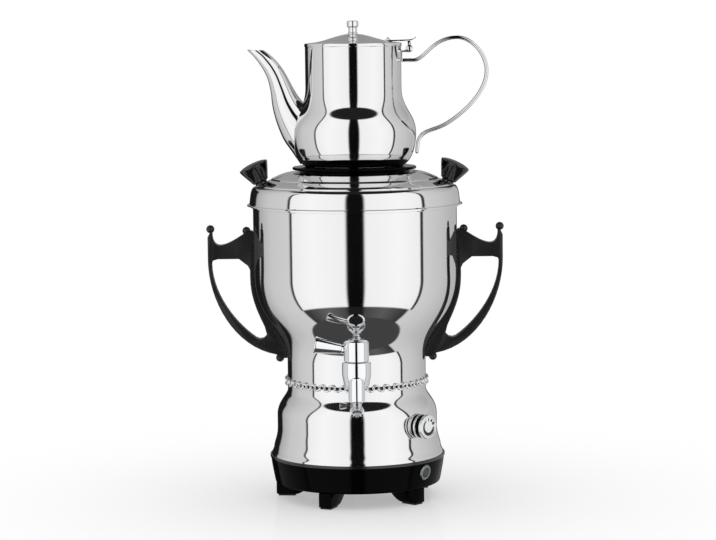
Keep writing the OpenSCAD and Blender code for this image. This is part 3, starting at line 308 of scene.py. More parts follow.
# Nylon, rubber and the metals below are inside the base or under it. Their grain is drawn coarser
# than the real one, so that it still shows.
dark_plastic = finish("matt black nylon", "#1A1A1B", 0.5, smudge=(8, 0.1), grain=(0.6, 0.1), bump=0.02,
                      tone=0.2)
rubber = finish("moulded black rubber", "#151515", 0.65, smudge=(10, 0.12), grain=(0.7, 0.12), bump=0.03,
                tone=0.3)
fastener_steel = finish("zinc-plated steel", "#B9BCBF", 0.3, 1.0, smudge=(6, 0.15), grain=(0.5, 0.1),
                        tone=0.12)
aluminium = finish("cast aluminium", "#BFC1C3", 0.42, 1.0, smudge=(12, 0.15), grain=(0.8, 0.15), bump=0.03,
                   tone=0.1)
element_steel = finish("annealed element tube", "#77797B", 0.4, 1.0, smudge=(9, 0.2), grain=(0.8, 0.1),
                       tone=0.3)
ceramic = finish("unglazed steatite", "#E2DCCB", 0.6, smudge=(6, 0.15), grain=(0.5, 0.1), bump=0.02,
                 tone=0.08)
wire_sleeve = finish("silicone wire sleeve", "#A8432B", 0.5, smudge=(5, 0.1), grain=(0.5, 0.1), tone=0.15)
# Smoked acrylic in front of the pilot lamp, with the lamp off behind it.
lens = finish("smoked lamp lens", "#3C3E40", 0.14, smudge=(5, 0.08), grain=(0.6, 0.03), tone=0.3, IOR=1.49,
              Transmission_Weight=0.15)
brass = finish("turned brass", "#C9A45A", 0.22, 1.0, smudge=(8, 0.15), grain=(0.4, 0.08), tone=0.15)
# Painted shade: the sheet beside the seam is painted black and dull, for the shade that shows through the
# chain.
seam_painted_shade = finish("painted shade behind the chain", "#0C0B0A", 0.6, smudge=(5, 0.1), grain=(0.6, 0.1), tone=0.3)
# Enamel in the marks of the knob: black, a hair above the face, and a little glossy.
mark_enamel = finish("black filled enamel", "#08080A", 0.3, smudge=(4, 0.05), grain=(0.4, 0.03), tone=0.2)
FINISHES = {"polished_steel": polished_steel, "chrome_plate": chrome_plate, "black_plastic": black_plastic,
            "dark_plastic": dark_plastic, "rubber": rubber, "fastener_steel": fastener_steel,
            "aluminium": aluminium, "element_steel": element_steel, "ceramic": ceramic,
            "wire_sleeve": wire_sleeve, "lens": lens, "brass": brass}
for part in frame["record"]["subparts"]:
    node = frame["nodes"][part["node"]]
    node.data.materials.clear()
    node.data.materials.append(FINISHES[part["material_slot"]])
print(len(FINISHES), "finishes")

# %% [markdown]
# ## The vessel
# The vessel is one spun sheet: a straight waist, a bowl that swells to the drum, and a small
# rolled flange at the rim. The bowl is the part that mirrors the table, so it gets most points.
# The housing below it is a second shell, which ends in the same seam under the chain.

# %% Vessel and lower housing
SEAM_BAND = 1.4        # how far the painted shade reaches above and below the seam


def seam_darkened(shell):
    """The sheet beside the seam is painted black as shade, and this shows through the chain."""
    shell.data.materials.append(seam_painted_shade)
    for face in shell.data.polygons:
        if abs(face.center.z - SEAM_Z * MM) < SEAM_BAND * MM:
            face.material_index = 1


vessel_outline = (
    [(WAIST_R, SEAM_Z), (WAIST_R, SEAM_Z + SEAM_BAND), (WAIST_R, WAIST_TOP_Z)]
    + curve((WAIST_R, WAIST_TOP_Z), (WAIST_R, WAIST_TOP_Z + 28),
            (DRUM_R, DRUM_Z - 46.2), (DRUM_R, DRUM_Z), 56)
    + [(DRUM_R, RIM_Z - 2.4), (DRUM_R + 1.8, RIM_Z - 1.8), (DRUM_R + 1.8, RIM_Z)]
)
vessel_inside = [(r - SHEET, z) for r, z in reversed(vessel_outline[:-2])]
vessel = spun("shown_vessel", vessel_outline + [(DRUM_R - SHEET, RIM_Z)] + vessel_inside)
finish_piece(placed(vessel, ON_AXIS), "samovar", polished_steel, "polished_steel", "vessel_body")
# Painted shade: the faces near the seam take the black shade material.
seam_darkened(vessel)

shoulder_z, foot_r = SEAM_Z - 34, FLARE_R - 2.3
housing_outline = (
    [(FLARE_R, SEAT_Z), (FLARE_R, BASE_TOP_Z + 1.2)]
    + curve((FLARE_R, BASE_TOP_Z + 1.2), (FLARE_R - 0.6, 48), (FLARE_R - 2.1, 49.5), (foot_r, 52.5), 10)
    + curve((foot_r, 52.5), (FLARE_R - 2.7, 57), (HOUSING_R, 62), (HOUSING_R, 72), 18)
    + [(HOUSING_R, shoulder_z)]
    + curve((HOUSING_R, shoulder_z), (HOUSING_R, shoulder_z + 13),
            (WAIST_R, SEAM_Z - 14.5), (WAIST_R, SEAM_Z - 8), 26)
    + [(WAIST_R, SEAM_Z - SEAM_BAND), (WAIST_R, SEAM_Z)]
)
housing = spun("shown_housing", shell_of(housing_outline, SHEET))
finish_piece(placed(housing, ON_AXIS), "samovar", polished_steel, "polished_steel", "lower_housing")
seam_darkened(housing)

# %% [markdown]
# ## The lid of the samovar
# The lid is pressed in one piece. Read from the rim up it has a flat lip, a short skirt, a rolled
# shoulder, a groove, a low dome, a small step, and a crest that keeps the teapot stand in place.
# Its two knobs are turned too, as cones that widen to a low crown, and lean outwards.

# %% Lid
SKIRT_R, CREST_R, LIP_R = 105, 64, 107.3
lid_outline = (
    [(LIP_R, RIM_Z), (LIP_R, RIM_Z + 0.7), (LIP_R - 0.5, RIM_Z + 1.2), (SKIRT_R, RIM_Z + 1.6),
     (SKIRT_R - 1, 304)]
    + curve((SKIRT_R - 1, 304), (SKIRT_R - 2, 310.5), (SKIRT_R - 3.5, 313), (SKIRT_R - 7, 313.4), 16)
    + [(SKIRT_R - 7.8, 312.8), (SKIRT_R - 8.8, 312.8), (SKIRT_R - 9.6, 314.4)]
    + curve((SKIRT_R - 9.6, 314.4), (SKIRT_R - 14, 317), (SKIRT_R - 18, 318.4), (CREST_R + 19.5, 319.4), 12)
    + [(CREST_R + 18.6, 320.6)]
    + curve((CREST_R + 18.6, 320.6), (CREST_R + 12, 323.6), (CREST_R + 6, 326.6), (CREST_R, 326.6), 16)
    + [(CREST_R - 1, 326), (CREST_R - 1.4, 323.4), (CREST_R - 2, STAND_Z), (46, STAND_Z)]
)
lid_inside = [(min(r, SKIRT_R - 2.4), z - 1.3) for r, z in reversed(lid_outline[4:])]
lid_foot = [(SKIRT_R - 1.4, RIM_Z + 1.2), (101, RIM_Z + 1.2), (101, RIM_Z)]
lid = spun("shown_lid", lid_outline + lid_inside + lid_foot)
finish_piece(placed(lid, ON_AXIS), "lid", polished_steel, "polished_steel", "lid_shell")

# %% Lid knobs
GRIP_AT, GRIP_TILT, GRIP_R, GRIP_L = 91.5, 25, 15, 22.8
GRIP_Z, SCREW_R, SCREW_TOP = STAND_Z - 9.4, 2.1, 12
edge_r, edge_z = GRIP_R - 0.1, GRIP_L - 1.9
crown_r, crown_z, top_z = GRIP_R - 1.4, GRIP_L - 0.4, GRIP_L + 1.8
grip_profile = (
    [(SCREW_R, 2), (6, 2), (6, 3.6), (7.7, 4.6), (8.2, 5.2)]
    + curve((8.2, 5.2), (9.6, 9), (GRIP_R - 0.9, 17.6), (edge_r, edge_z), 12)
    + curve((edge_r, edge_z), (GRIP_R + 0.1, GRIP_L - 1), (GRIP_R - 0.6, GRIP_L - 0.7), (crown_r, crown_z), 6)
    + curve((crown_r, crown_z), (GRIP_R * 0.66, GRIP_L + 1.3), (GRIP_R * 0.33, top_z), (0, top_z), 12)
    + [(0, SCREW_TOP), (SCREW_R, SCREW_TOP)]
)
for side, node in ((-1, "lid_knob_left"), (1, "lid_knob_right")):
    grip = spun("shown_" + node, grip_profile, 112)
    at_grip = (ON_AXIS @ Matrix.Translation((side * GRIP_AT * MM, 0, GRIP_Z * MM))
               @ Matrix.Rotation(radians(side * GRIP_TILT), 4, "Y"))
    finish_piece(placed(grip, at_grip), "lid", black_gloss, "black_plastic", node)
finish_piece(rounded("teapot_stand", 0.5), "lid", black_plastic, "black_plastic", "teapot_stand")

# %% [markdown]
# ## The teapot
# The body is spun from thin sheet: a flat foot, a full bulge and a tall neck. Its lid is a shallow
# dome with a turned knob.

# %% Teapot body and lid
pot_outline = (
    [(49.5, POT_Z + 0.8)]
    + curve((49.5, POT_Z + 0.8), (57, POT_Z + 5.5), (61.8, POT_Z + 17), (61.8, POT_Z + 33), 26)
    + curve((61.8, POT_Z + 33), (61.8, POT_Z + 52), (47.7, POT_Z + 56), (47.7, POT_Z + 78), 34)
    + [(47.7, POT_RIM_Z)]
)
pot = spun("shown_teapot", shell_of(pot_outline, POT_SHEET))
finish_piece(placed(pot, ON_AXIS), "teapot", polished_steel, "polished_steel", "teapot_body")

LID_R, FLAT_Z = 48.3, 454
dome = curve((LID_R - 7, FLAT_Z + 0.6), (LID_R - 20, FLAT_Z + 1.6), (14, FLAT_Z + 9), (3, FLAT_Z + 9), 28)
pot_lid_profile = (
    [(46.4, POT_RIM_Z), (LID_R - 0.3, POT_RIM_Z), (LID_R, POT_RIM_Z + 0.4), (LID_R, FLAT_Z - 0.8),
     (LID_R - 0.3, FLAT_Z - 0.3), (LID_R - 1.2, FLAT_Z), (LID_R - 7, FLAT_Z + 0.6)]
    + dome + [(0, FLAT_Z + 9), (0, FLAT_Z + 8)]
    + shifted(list(reversed(dome)), 0, -1)
    + [(45.6, FLAT_Z - 1), (45.6, POT_RIM_Z - 5), (46.4, POT_RIM_Z - 5)]
)
pot_lid = spun("shown_teapot_lid", pot_lid_profile, 128)
finish_piece(placed(pot_lid, ON_AXIS), "teapot_cover", polished_steel, "polished_steel", "teapot_lid")

TOP_Z = FLAT_Z + 9
button_profile = (
    [(0, TOP_Z), (4.6, TOP_Z)]
    + curve((4.6, TOP_Z), (5, TOP_Z + 0.3), (5, TOP_Z + 1.3), (4.3, TOP_Z + 1.8), 6)
    + [(4.2, TOP_Z + 2.3), (4.2, TOP_Z + 6)]
    + curve((4.2, TOP_Z + 6), (4.3, TOP_Z + 6.9), (5.75, TOP_Z + 6.7), (5.75, TOP_Z + 7.9), 8)
    + [(5.75, TOP_Z + 11.5)]
    + curve((5.75, TOP_Z + 11.5), (5.75, TOP_Z + 12.8), (5.2, TOP_Z + 13), (3.6, TOP_Z + 13), 10)
    + [(0, TOP_Z + 13)]
)
button = spun("shown_teapot_knob", button_profile, 96)
finish_piece(placed(button, ON_AXIS), "teapot_cover", polished_steel, "polished_steel", "teapot_lid_button")

# %% [markdown]
# ## The spout
# The spout is a tapered tube, bent to a swan neck and welded to the bulge. A line through its
# middle is drawn as edges and turned into a curve with a round section whose radius follows the
# taper. A level cut opens the mouth, Solidify gives the tube its wall, and a turned plug of the
# pot's own shape cuts the root, so that it meets the bulge with no gap.

# %% Spout
MOUTH_UP, SPOUT_WALL = 116, 1.0
# Each point is (distance from the pot's axis, height above its foot, radius of the tube) in mm
spout_line = [(36, 14, 21), (44, 26, 21), (53, 38.5, 20.5), (61, 51, 17.4), (66.8, 63, 14.4),
              (71.4, 77, 11.2), (75.8, 89, 9.4), (81, 98.5, 8.2), (87.4, 106.5, 7), (94, 113, 5.6),
              (101, 119, 4.7), (108, 125, 4.7)]


def smooth(points, per_step=6):
    """A denser line through the points, with an even curve at each."""
    dense = []
    for i in range(len(points) - 1):
        a, b, c, d = (Vector(points[max(0, min(k, len(points) - 1))]) for k in (i - 1, i, i + 1, i + 2))
        for k in range(per_step):
            f = k / per_step
            dense.append(b + f * 0.5 * (c - a) + f * f * (a - 2.5 * b + 2 * c - 0.5 * d)
                         + f ** 3 * 0.5 * (d - a + 3 * (b - c)))
    return dense + [Vector(points[-1])]


middle = smooth(spout_line)
spout = draw_line("shown_spout", [(-p.x, AXIS_Y, POT_Z + p.y) for p in middle])
only(spout)
bpy.ops.object.convert(target="CURVE")
spout = bpy.context.active_object
line = spout.data.splines[0]
if line.points[0].co.z > line.points[-1].co.z:
    middle.reverse()
for point, p in zip(line.points, middle):
    point.radius = p.z
spout.data.bevel_depth = MM
spout.data.bevel_resolution = 14
bpy.ops.object.convert(target="MESH")
spout = bpy.context.active_object
bpy.ops.object.mode_set(mode="EDIT")
bpy.ops.mesh.select_all(action="SELECT")
bpy.ops.mesh.remove_doubles(threshold=TOUCHING)
bpy.ops.mesh.normals_make_consistent(inside=False)
bpy.ops.mesh.select_all(action="SELECT")
bpy.ops.mesh.bisect(plane_co=(0, 0, (POT_Z + MOUTH_UP) * MM), plane_no=(0, 0, 1), clear_outer=True)
bpy.ops.object.mode_set(mode="OBJECT")
wall = spout.modifiers.new("wall", "SOLIDIFY")
wall.thickness = SPOUT_WALL * MM
wall.offset = -1
bpy.ops.object.modifier_apply(modifier=wall.name)
plug = spun("pot_plug", [(0, POT_Z + 1)] + shifted(pot_outline, 0.03) + [(0, POT_RIM_Z)], 192, closed=False)
placed(plug, ON_AXIS)
only(spout)
trim = spout.modifiers.new("trim", "BOOLEAN")
trim.operation = "DIFFERENCE"
trim.solver = "EXACT"
trim.object = plug
bpy.ops.object.modifier_apply(modifier=trim.name)
bpy.data.objects.remove(plug)
finish_piece(shade(spout, 40), "teapot", polished_steel, "polished_steel", "teapot_spout")

# %% [markdown]
# ## The teapot's handle
# The handle is a flat bar, bent round in one line and welded at the neck and on the bulge. The
# line is extruded sideways to the bar's width, and Solidify and Bevel give it its section. The
# pieces of the hinge keep their CAD shape.

# %% Handle strap
TOP, BACK = POT_Z + 104.5, 132.3
STRAP_W, STRAP_T, STRAP_ROUND = 13, 3.5, 1.65
strap_line = (
    [(47.3, TOP), (59.7, TOP)]
    + curve((59.7, TOP), (71.7, TOP), (BACK - 54, TOP + 22), (BACK - 29.3, TOP + 22), 40)
    + curve((BACK - 29.3, TOP + 22), (BACK - 14, TOP + 22), (BACK, TOP + 5), (BACK, TOP - 11), 40)
    + curve((BACK, TOP - 11), (BACK, TOP - 31), (BACK - 20, TOP - 51), (BACK - 40, TOP - 63), 40)
    + curve((BACK - 40, TOP - 63), (BACK - 54, TOP - 71), (65.2, POT_Z + 36), (63.3, POT_Z + 21), 36)
    + [(62.4, POT_Z + 12)]
)
strap = draw_line("shown_teapot_handle", [(x, AXIS_Y - STRAP_W / 2, z) for x, z in strap_line])
bpy.ops.object.mode_set(mode="EDIT")
bpy.ops.mesh.select_all(action="SELECT")
bpy.ops.mesh.extrude_region_move(TRANSFORM_OT_translate={"value": (0, STRAP_W * MM, 0)})
bpy.ops.mesh.select_all(action="SELECT")
bpy.ops.mesh.normals_make_consistent(inside=False)
bpy.ops.object.mode_set(mode="OBJECT")
bar = strap.modifiers.new("bar", "SOLIDIFY")
bar.thickness = STRAP_T * MM
bar.offset = 0
bar.use_even_offset = True
bpy.ops.object.modifier_apply(modifier=bar.name)
edges = strap.modifiers.new("edges", "BEVEL")
edges.width = STRAP_ROUND * MM
edges.segments = 7
edges.limit_method = "ANGLE"
edges.angle_limit = radians(50)
bpy.ops.object.modifier_apply(modifier=edges.name)
finish_piece(shade(strap, 50), "teapot", polished_steel, "polished_steel", "teapot_handle")
for node, body in (("hinge_bracket", "teapot"), ("hinge_pin", "teapot"), ("lid_hinge_leaf", "teapot_cover")):
    slot = "chrome_plate" if node == "hinge_pin" else "polished_steel"
    finish_piece(rounded(node, 0.3, 2), body, FINISHES[slot], slot, node)

# %% [markdown]
# ## The base and the side handles
# The base is one black moulding with a bead round its rim, and the bead is buffed. It stands on
# five gusset feet. The feet and the two side handles keep their CAD shape and get softly rounded
# edges.

# %% Base, feet, handles and lamp bezel
base_profile = (
    [(26, BASE_Z + 2), (34.2, BASE_Z + 2), (34.2, BASE_Z), (81, BASE_Z)]
    + curve((81, BASE_Z), (82, BASE_Z), (82.8, BASE_Z + 0.6), (83, BASE_Z + 2), 6)
    + [(84, 23), (85.5, 31), (86.4, 36.5), (86.9, 40.5), (87, BASE_TOP_Z - 3)]
    + curve((87, BASE_TOP_Z - 3), (87.7, BASE_TOP_Z - 2.9), (87.7, BASE_TOP_Z - 2.6),
            (87.7, BASE_TOP_Z - 1.9), 4)
    + [(87.7, BASE_TOP_Z - 0.8)]
    + curve((87.7, BASE_TOP_Z - 0.8), (87.7, BASE_TOP_Z - 0.2), (87.4, BASE_TOP_Z), (86.9, BASE_TOP_Z), 4)
    + [(86.3, BASE_TOP_Z), (86.3, SEAT_Z), (82.3, SEAT_Z), (82.3, 40), (83.8, 38.5), (80.5, 21), (26, 21)]
)
base = spun("shown_base", base_profile)
finish_piece(placed(base, ON_AXIS), "samovar", black_plastic, "black_plastic", "base_shell")
BEAD_LOW_Z = BASE_TOP_Z - 3.2
base.data.materials.append(black_gloss)
for face in base.data.polygons:
    if face.center.z > BEAD_LOW_Z * MM:
        face.material_index = 1
finish_piece(rounded("feet", 0.9), "samovar", black_plastic, "black_plastic", "feet")
for node in ("handle_left", "handle_right"):
    finish_piece(rounded(node, 1.6, 4, 45), "samovar", handle_black, "black_plastic", node)
finish_piece(rounded("lamp_bezel", 0.3, 3), "samovar", bezel_plate, "chrome_plate", "lamp_bezel")

# %% [markdown]
# ## The knob
# A plated ring is fixed to the housing. In front of it turns a black core with a second ring and
# a cap, so that two black grooves show from the side. The cap's face is a little sunk and
# lacquered.

# %% Knob
AT_KNOB = (ON_AXIS @ Matrix.Rotation(radians(KNOB_TURN), 4, "Z")
           @ Matrix.Translation((0, -HOUSING_R * MM, KNOB_Z * MM))
           @ Matrix.Rotation(pi / 2, 4, "X"))
# Heights along the knob start at the housing, on a radius of HOUSING_R
CORE_R, PLATE_IN_R, FACE_R = 11.3, 8, 9.2
PLATE_LOW, PLATE_TOP, RING_LOW, RING_TOP, CAP_LOW, FACE_AT = -2.2, 1.4, 4.5, 7, 11.6, KNOB_OUT - 0.6
plate = spun("shown_knob_plate", [(PLATE_IN_R, PLATE_LOW), (KNOB_R, PLATE_LOW), (KNOB_R, PLATE_TOP - 0.5),
                                  (KNOB_R - 0.5, PLATE_TOP), (PLATE_IN_R, PLATE_TOP)], 128)
finish_piece(placed(plate, AT_KNOB), "samovar", satin_chrome, "chrome_plate", "knob_escutcheon")
core = spun("shown_knob_core", [(0, PLATE_TOP + 0.3), (CORE_R, PLATE_TOP + 0.3), (CORE_R, CAP_LOW + 0.5),
                                (0, CAP_LOW + 0.5)], 96, closed=False)
finish_piece(placed(core, AT_KNOB), "knob", black_plastic, "black_plastic", "knob_core")
ring = spun("shown_knob_ring", [(CORE_R - 0.4, RING_LOW), (KNOB_R - 0.4, RING_LOW), (KNOB_R, RING_LOW + 0.4),
                                (KNOB_R, RING_TOP - 0.4), (KNOB_R - 0.4, RING_TOP),
                                (CORE_R - 0.4, RING_TOP)], 128)
finish_piece(placed(ring, AT_KNOB), "knob", satin_chrome, "chrome_plate", "knob_ring")
cap_profile = (
    [(0, CAP_LOW), (KNOB_R - 0.5, CAP_LOW), (KNOB_R, CAP_LOW + 0.5), (KNOB_R, KNOB_OUT - 1.3)]
    + curve((KNOB_R, KNOB_OUT - 1.3), (KNOB_R, KNOB_OUT - 0.4), (KNOB_R - 0.9, KNOB_OUT),
            (KNOB_R - 1.9, KNOB_OUT), 10)
    + [(FACE_R + 0.2, KNOB_OUT), (FACE_R, FACE_AT), (0, FACE_AT)]
)
cap = spun("shown_knob_cap", cap_profile, 128, closed=False)
finish_piece(placed(cap, AT_KNOB), "knob", satin_chrome, "chrome_plate", "knob_cap")
cap.data.materials.append(face_lacquer)
to_knob = AT_KNOB.inverted()
for face in cap.data.polygons:
    here = to_knob @ face.center
    if here.xy.length < FACE_R * MM and here.z > (KNOB_OUT - 1) * MM:
        face.material_index = 1

# %% [markdown]
# ## The marks on the knob
# The marks stand for the heat: a tick where it is off, dots that grow, and an arc that grows to the
# full heat. They are cut from outlines as thin plates, so that they stay sharp at any distance. An
# outline is drawn as a loop of edges, filled, and extruded. Places on the face are told as on a
# clock.

# %% Marks
def thin_plate(name, outline, low, thick):
    """A flat plate of a closed outline, in the knob's own frame: x to the right, y up."""
    plate = draw_line(name, [(x, y, low) for x, y in outline + outline[:1]])
    bpy.ops.object.mode_set(mode="EDIT")
    bpy.ops.mesh.select_all(action="SELECT")
    bpy.ops.mesh.remove_doubles(threshold=TOUCHING)
    bpy.ops.mesh.edge_face_add()
    bpy.ops.mesh.extrude_region_move(TRANSFORM_OT_translate={"value": (0, 0, thick * MM)})
    bpy.ops.mesh.select_all(action="SELECT")
    bpy.ops.mesh.normals_make_consistent(inside=False)
    bpy.ops.object.mode_set(mode="OBJECT")
    return plate


def clock(radius, hour):
    turn = radians(90 - 30 * hour)
    return (radius * cos(turn), radius * sin(turn))


MARK_R, FULL_W, THIN_W, MARK_T, DOT_SIDES = 7.1, 3.1, 1.0, 0.12, 28
FIRST_HOUR, ARC_HOURS, ARC_STEPS = 3.1, 7.9, 40
hours = [FIRST_HOUR + ARC_HOURS * k / ARC_STEPS for k in range(ARC_STEPS + 1)]
widths = [THIN_W + (FULL_W - THIN_W) * min(1, (h - 3.0) / 1.2, (11.2 - h) / 4.2) for h in hours]
arc = [clock(MARK_R + w / 2, h) for h, w in zip(hours, widths)]
arc += [clock(MARK_R - w / 2, h) for h, w in reversed(list(zip(hours, widths)))]
marks = [thin_plate("marks", arc, FACE_AT, MARK_T)]
for hour, dot_r in ((1.15, 1.3), (2.2, 1.55)):
    x, y = clock(MARK_R, hour)
    turns = [2 * pi * k / DOT_SIDES for k in range(DOT_SIDES)]
    dot = [(x + dot_r * cos(a), y + dot_r * sin(a)) for a in turns]
    marks.append(thin_plate("dot", dot, FACE_AT, MARK_T))
tick = [(-0.55, MARK_R - 1.5), (0.55, MARK_R - 1.5), (0.7, MARK_R + 1.2), (-0.7, MARK_R + 1.2)]
marks.append(thin_plate("tick", tick, FACE_AT, MARK_T))
only(*reversed(marks))
bpy.ops.object.join()
marks = bpy.context.active_object
marks.name = marks.data.name = "knob_marks"
finish_piece(placed(marks, AT_KNOB), "knob", mark_enamel, "black_plastic")

# %% [markdown]
# ## The tap
# The tap is cast, turned and plated. Its barrel, outlet, pipe and rosette are turned one by one and
# joined, as a founder would add them to the pattern. The head and its conical lever turn together.

# %% Tap barrel, outlet and pipe
AT_TAP = Matrix.Translation((0, TAP_Y * MM, INLET_Z * MM))
barrel = spun("shown_tap", [(0, -12), (8, -12)]
              + curve((8, -12), (11.4, -11.6), (12.2, -8.5), (12.7, -5.6), 10)
              + curve((12.7, -5.6), (13.3, -2), (14.2, 0), (14.2, 3), 8) + [(14.2, 10.5)]
              + curve((14.2, 10.5), (14.2, 13), (14, 14.5), (13.2, 14.8), 8) + [(0, 14.8)], 96, closed=False)
OUTLET_R, OUTLET_LOW, BALL_Z = 8, -22.5, -4
ball = [(OUTLET_R * cos(radians(a)), BALL_Z + OUTLET_R * sin(radians(a))) for a in range(6, 91, 6)]
outlet = spun("outlet", [(5.5, OUTLET_LOW), (7.6, OUTLET_LOW), (OUTLET_R, OUTLET_LOW + 0.4),
                         (OUTLET_R, BALL_Z)] + ball + [(0, -14), (5.5, -14)], 72)
placed(outlet, Matrix.Translation((0, -8 * MM, 0)))
PIPE_R = 5.2
pipe_profile = [(0, 2), (PIPE_R, 2), (PIPE_R, 15.2), (6.2, 15.2), (7, 16), (7, 17.4), (6.2, 18.2),
                (PIPE_R, 18.2), (PIPE_R, 31.4), (8, 31.4), (9.2, 32.4), (9.2, 33.8), (PIPE_R, 33.8),
                (PIPE_R, 46), (0, 46)]
pipe = spun("pipe", pipe_profile, 64, closed=False)
placed(pipe, Matrix.Rotation(-pi / 2, 4, "X"))
only(outlet, pipe, barrel)
bpy.ops.object.join()
finish_piece(placed(barrel, AT_TAP), "samovar", chrome_plate, "chrome_plate", "tap_body")

# %% Tap head and lever
HEAD_R, HEAD_LOW, HEAD_TOP = 12.2, 15.2, 36.2
head = spun("shown_tap_head", [(0, HEAD_LOW), (HEAD_R - 0.5, HEAD_LOW), (HEAD_R, HEAD_LOW + 0.5),
                               (HEAD_R, HEAD_TOP - 4.5)]
            + curve((HEAD_R, HEAD_TOP - 4.5), (HEAD_R, HEAD_TOP - 1.9), (11, HEAD_TOP), (7.5, HEAD_TOP), 12)
            + [(0, HEAD_TOP)], 96, closed=False)
finish_piece(placed(head, AT_TAP), "tap_valve", chrome_plate, "chrome_plate", "tap_head")

LEVER_UP, LEVER_TILT, LEVER_FROM = 24.86, 9.5, 6.8
AT_LEVER = (AT_TAP @ Matrix.Translation((0, 0, LEVER_UP * MM))
            @ Matrix.Rotation(radians(LEVER_TILT - 90), 4, "Y")
            @ Matrix.Translation((0, 0, LEVER_FROM * MM)))
lever = spun("shown_tap_lever", [(0, 4.6), (4.2, 4.6), (4.7, 5), (4.7, 6.6)]
             + curve((4.7, 6.6), (4.2, 7.4), (4.4, 8), (4.7, 9), 6)
             + [(8.2, 31.6)] + curve((8.2, 31.6), (8.5, 32.8), (8.3, 33.9), (7.4, 34), 6)
             + [(6.3, 34), (5.9, 33.5), (0, 33.3)], 72, closed=False)
finish_piece(placed(lever, AT_LEVER), "tap_valve", chrome_plate, "chrome_plate", "tap_lever")

# %% [markdown]
# ## The chain round the waist
# The chain hides the seam between the vessel and the housing. One ring of wire is modelled, leant
# one way, its neighbour the other way, and the pair is spun round the waist as copies.

# %% Waist chain
LINKS, LINK_R, WIRE_R, LEAN = 80, 3.2, 1.05, 30
chain_r = WAIST_R + 0.4
step_turn = 2 * pi / LINKS
links = []
for i, lean in enumerate((-LEAN, LEAN)):
    bpy.ops.object.select_all(action="DESELECT")
    bpy.ops.mesh.primitive_torus_add(major_radius=LINK_R * MM, minor_radius=WIRE_R * MM, major_segments=22,
                                     minor_segments=10)
    link = bpy.context.active_object
    upright = Matrix.Translation((0, -chain_r * MM, 0)) @ Matrix.Rotation(radians(90 + lean), 4, "X")
    placed(link, Matrix.Rotation((i + 0.5) * step_turn, 4, "Z") @ upright)
    links.append(link)
only(*links)
bpy.ops.object.join()
chain = bpy.context.active_object
chain.name = chain.data.name = "shown_chain"
bpy.ops.object.mode_set(mode="EDIT")
bpy.ops.mesh.select_all(action="SELECT")
bpy.ops.mesh.spin(steps=LINKS // 2 - 1, dupli=True, angle=2 * pi - 2 * step_turn, center=(0, 0, 0),
                  axis=(0, 0, 1))
bpy.ops.object.mode_set(mode="OBJECT")
placed(chain, Matrix.Translation((0, AXIS_Y * MM, SEAM_Z * MM)))
finish_piece(shade(chain, 60), "samovar", chrome_plate, "chrome_plate", "waist_chain")

# %% [markdown]
# ## The studio
# A mirror has no colour of its own: it shows the room. The room here is two tall white panels in
# front, with a narrow black gap between them where the camera looks in, and grey walls behind.
# Reflections see it as a map of the directions: bands of brightness round the compass, in layers
# from the dark table right below to a dark ceiling. The camera sees plain white instead, and
# diffuse surfaces are lit evenly from all sides, so that no plastic or paint takes the stripes of
# the map.

# %% World
world = bpy.data.worlds.new("studio")
bpy.context.scene.world = world
world.use_nodes = True
sky = world.node_tree
sky.nodes.clear()
toward = add(sky, "ShaderNodeTexCoord").outputs["Generated"]
axes = add(sky, "ShaderNodeSeparateXYZ", {"Vector": toward}).outputs
front = add(sky, "ShaderNodeMath", {0: axes["Y"], 1: -1.0}, operation="MULTIPLY").outputs[0]
turn = add(sky, "ShaderNodeMath", {0: axes["X"], 1: front}, operation="ARCTAN2").outputs[0]
share = add(sky, "ShaderNodeMapRange", {"Value": turn, "From Min": -pi, "From Max": pi}).outputs["Result"]
print("directions of the room are read by", len(sky.nodes), "nodes")

# %% [markdown]
# ## The bands of the room
# A colour ramp takes the compass direction and gives a brightness. The two panels are the same in
# every layer that reaches above the floor, and the floor in front is dark between them.

# %% Bands
# Bands as (compass turn from the front in degrees, brightness): left is negative
PANEL, GAP, EDGE = 1.2, 0.004, 0.02
PANELS = [(-79, 0.8), (-78.4, EDGE), (-75.4, EDGE), (-74.6, 1.1), (-50, PANEL), (-11.5, 1.12), (-9, GAP),
          (9, GAP), (11.5, 1.12), (50, PANEL), (78, 1.1), (78.8, EDGE), (81.8, EDGE), (82.4, 0.8)]
FLOOR = [(-180, 0.34), (-146, 0.5), (-110, 0.72), (-78, 0.78), (-75, 0.04), (-40, 0.15), (-14, 0.08),
         (-9, 0.015), (9, 0.015), (14, 0.08), (40, 0.13), (75, 0.04), (78, 0.78), (110, 0.7), (140, 0.56),
         (180, 0.34)]
WALLS = ([(-180, 0.34), (-172, 0.34), (-170, 0.012), (-139, 0.012), (-135, 0.5), (-110, 0.72)] + PANELS
         + [(110, 0.7), (140, 0.56), (163, 0.5), (165, 0.02), (172, 0.02), (174, 0.34), (180, 0.34)])
UPPER = [(-180, 0.34), (-146, 0.45), (-110, 0.7)] + PANELS + [(110, 0.68), (146, 0.46), (180, 0.34)]


def compass(bands):
    """Brightness round the compass, as a colour ramp."""
    node = add(sky, "ShaderNodeValToRGB", {"Fac": share})
    ramp = node.color_ramp
    for i, (angle, value) in enumerate(bands):
        at = (angle + 180) / 360
        stop = ramp.elements[i] if i < 2 else ramp.elements.new(at)
        stop.position = at
        stop.color = grey(value)
    return node.outputs["Color"]


def layered(lower, upper, low, high):
    """The lower layer up to an elevation in degrees, the upper one from the next."""
    rise = add(sky, "ShaderNodeMapRange", {"Value": axes["Z"], "From Min": sin(radians(low)),
                                           "From Max": sin(radians(high))})
    return add(sky, "ShaderNodeMix", {"Factor": rise.outputs["Result"], "A": lower, "B": upper},
               data_type="RGBA").outputs["Result"]


print(len(PANELS), "edges of the front panels")

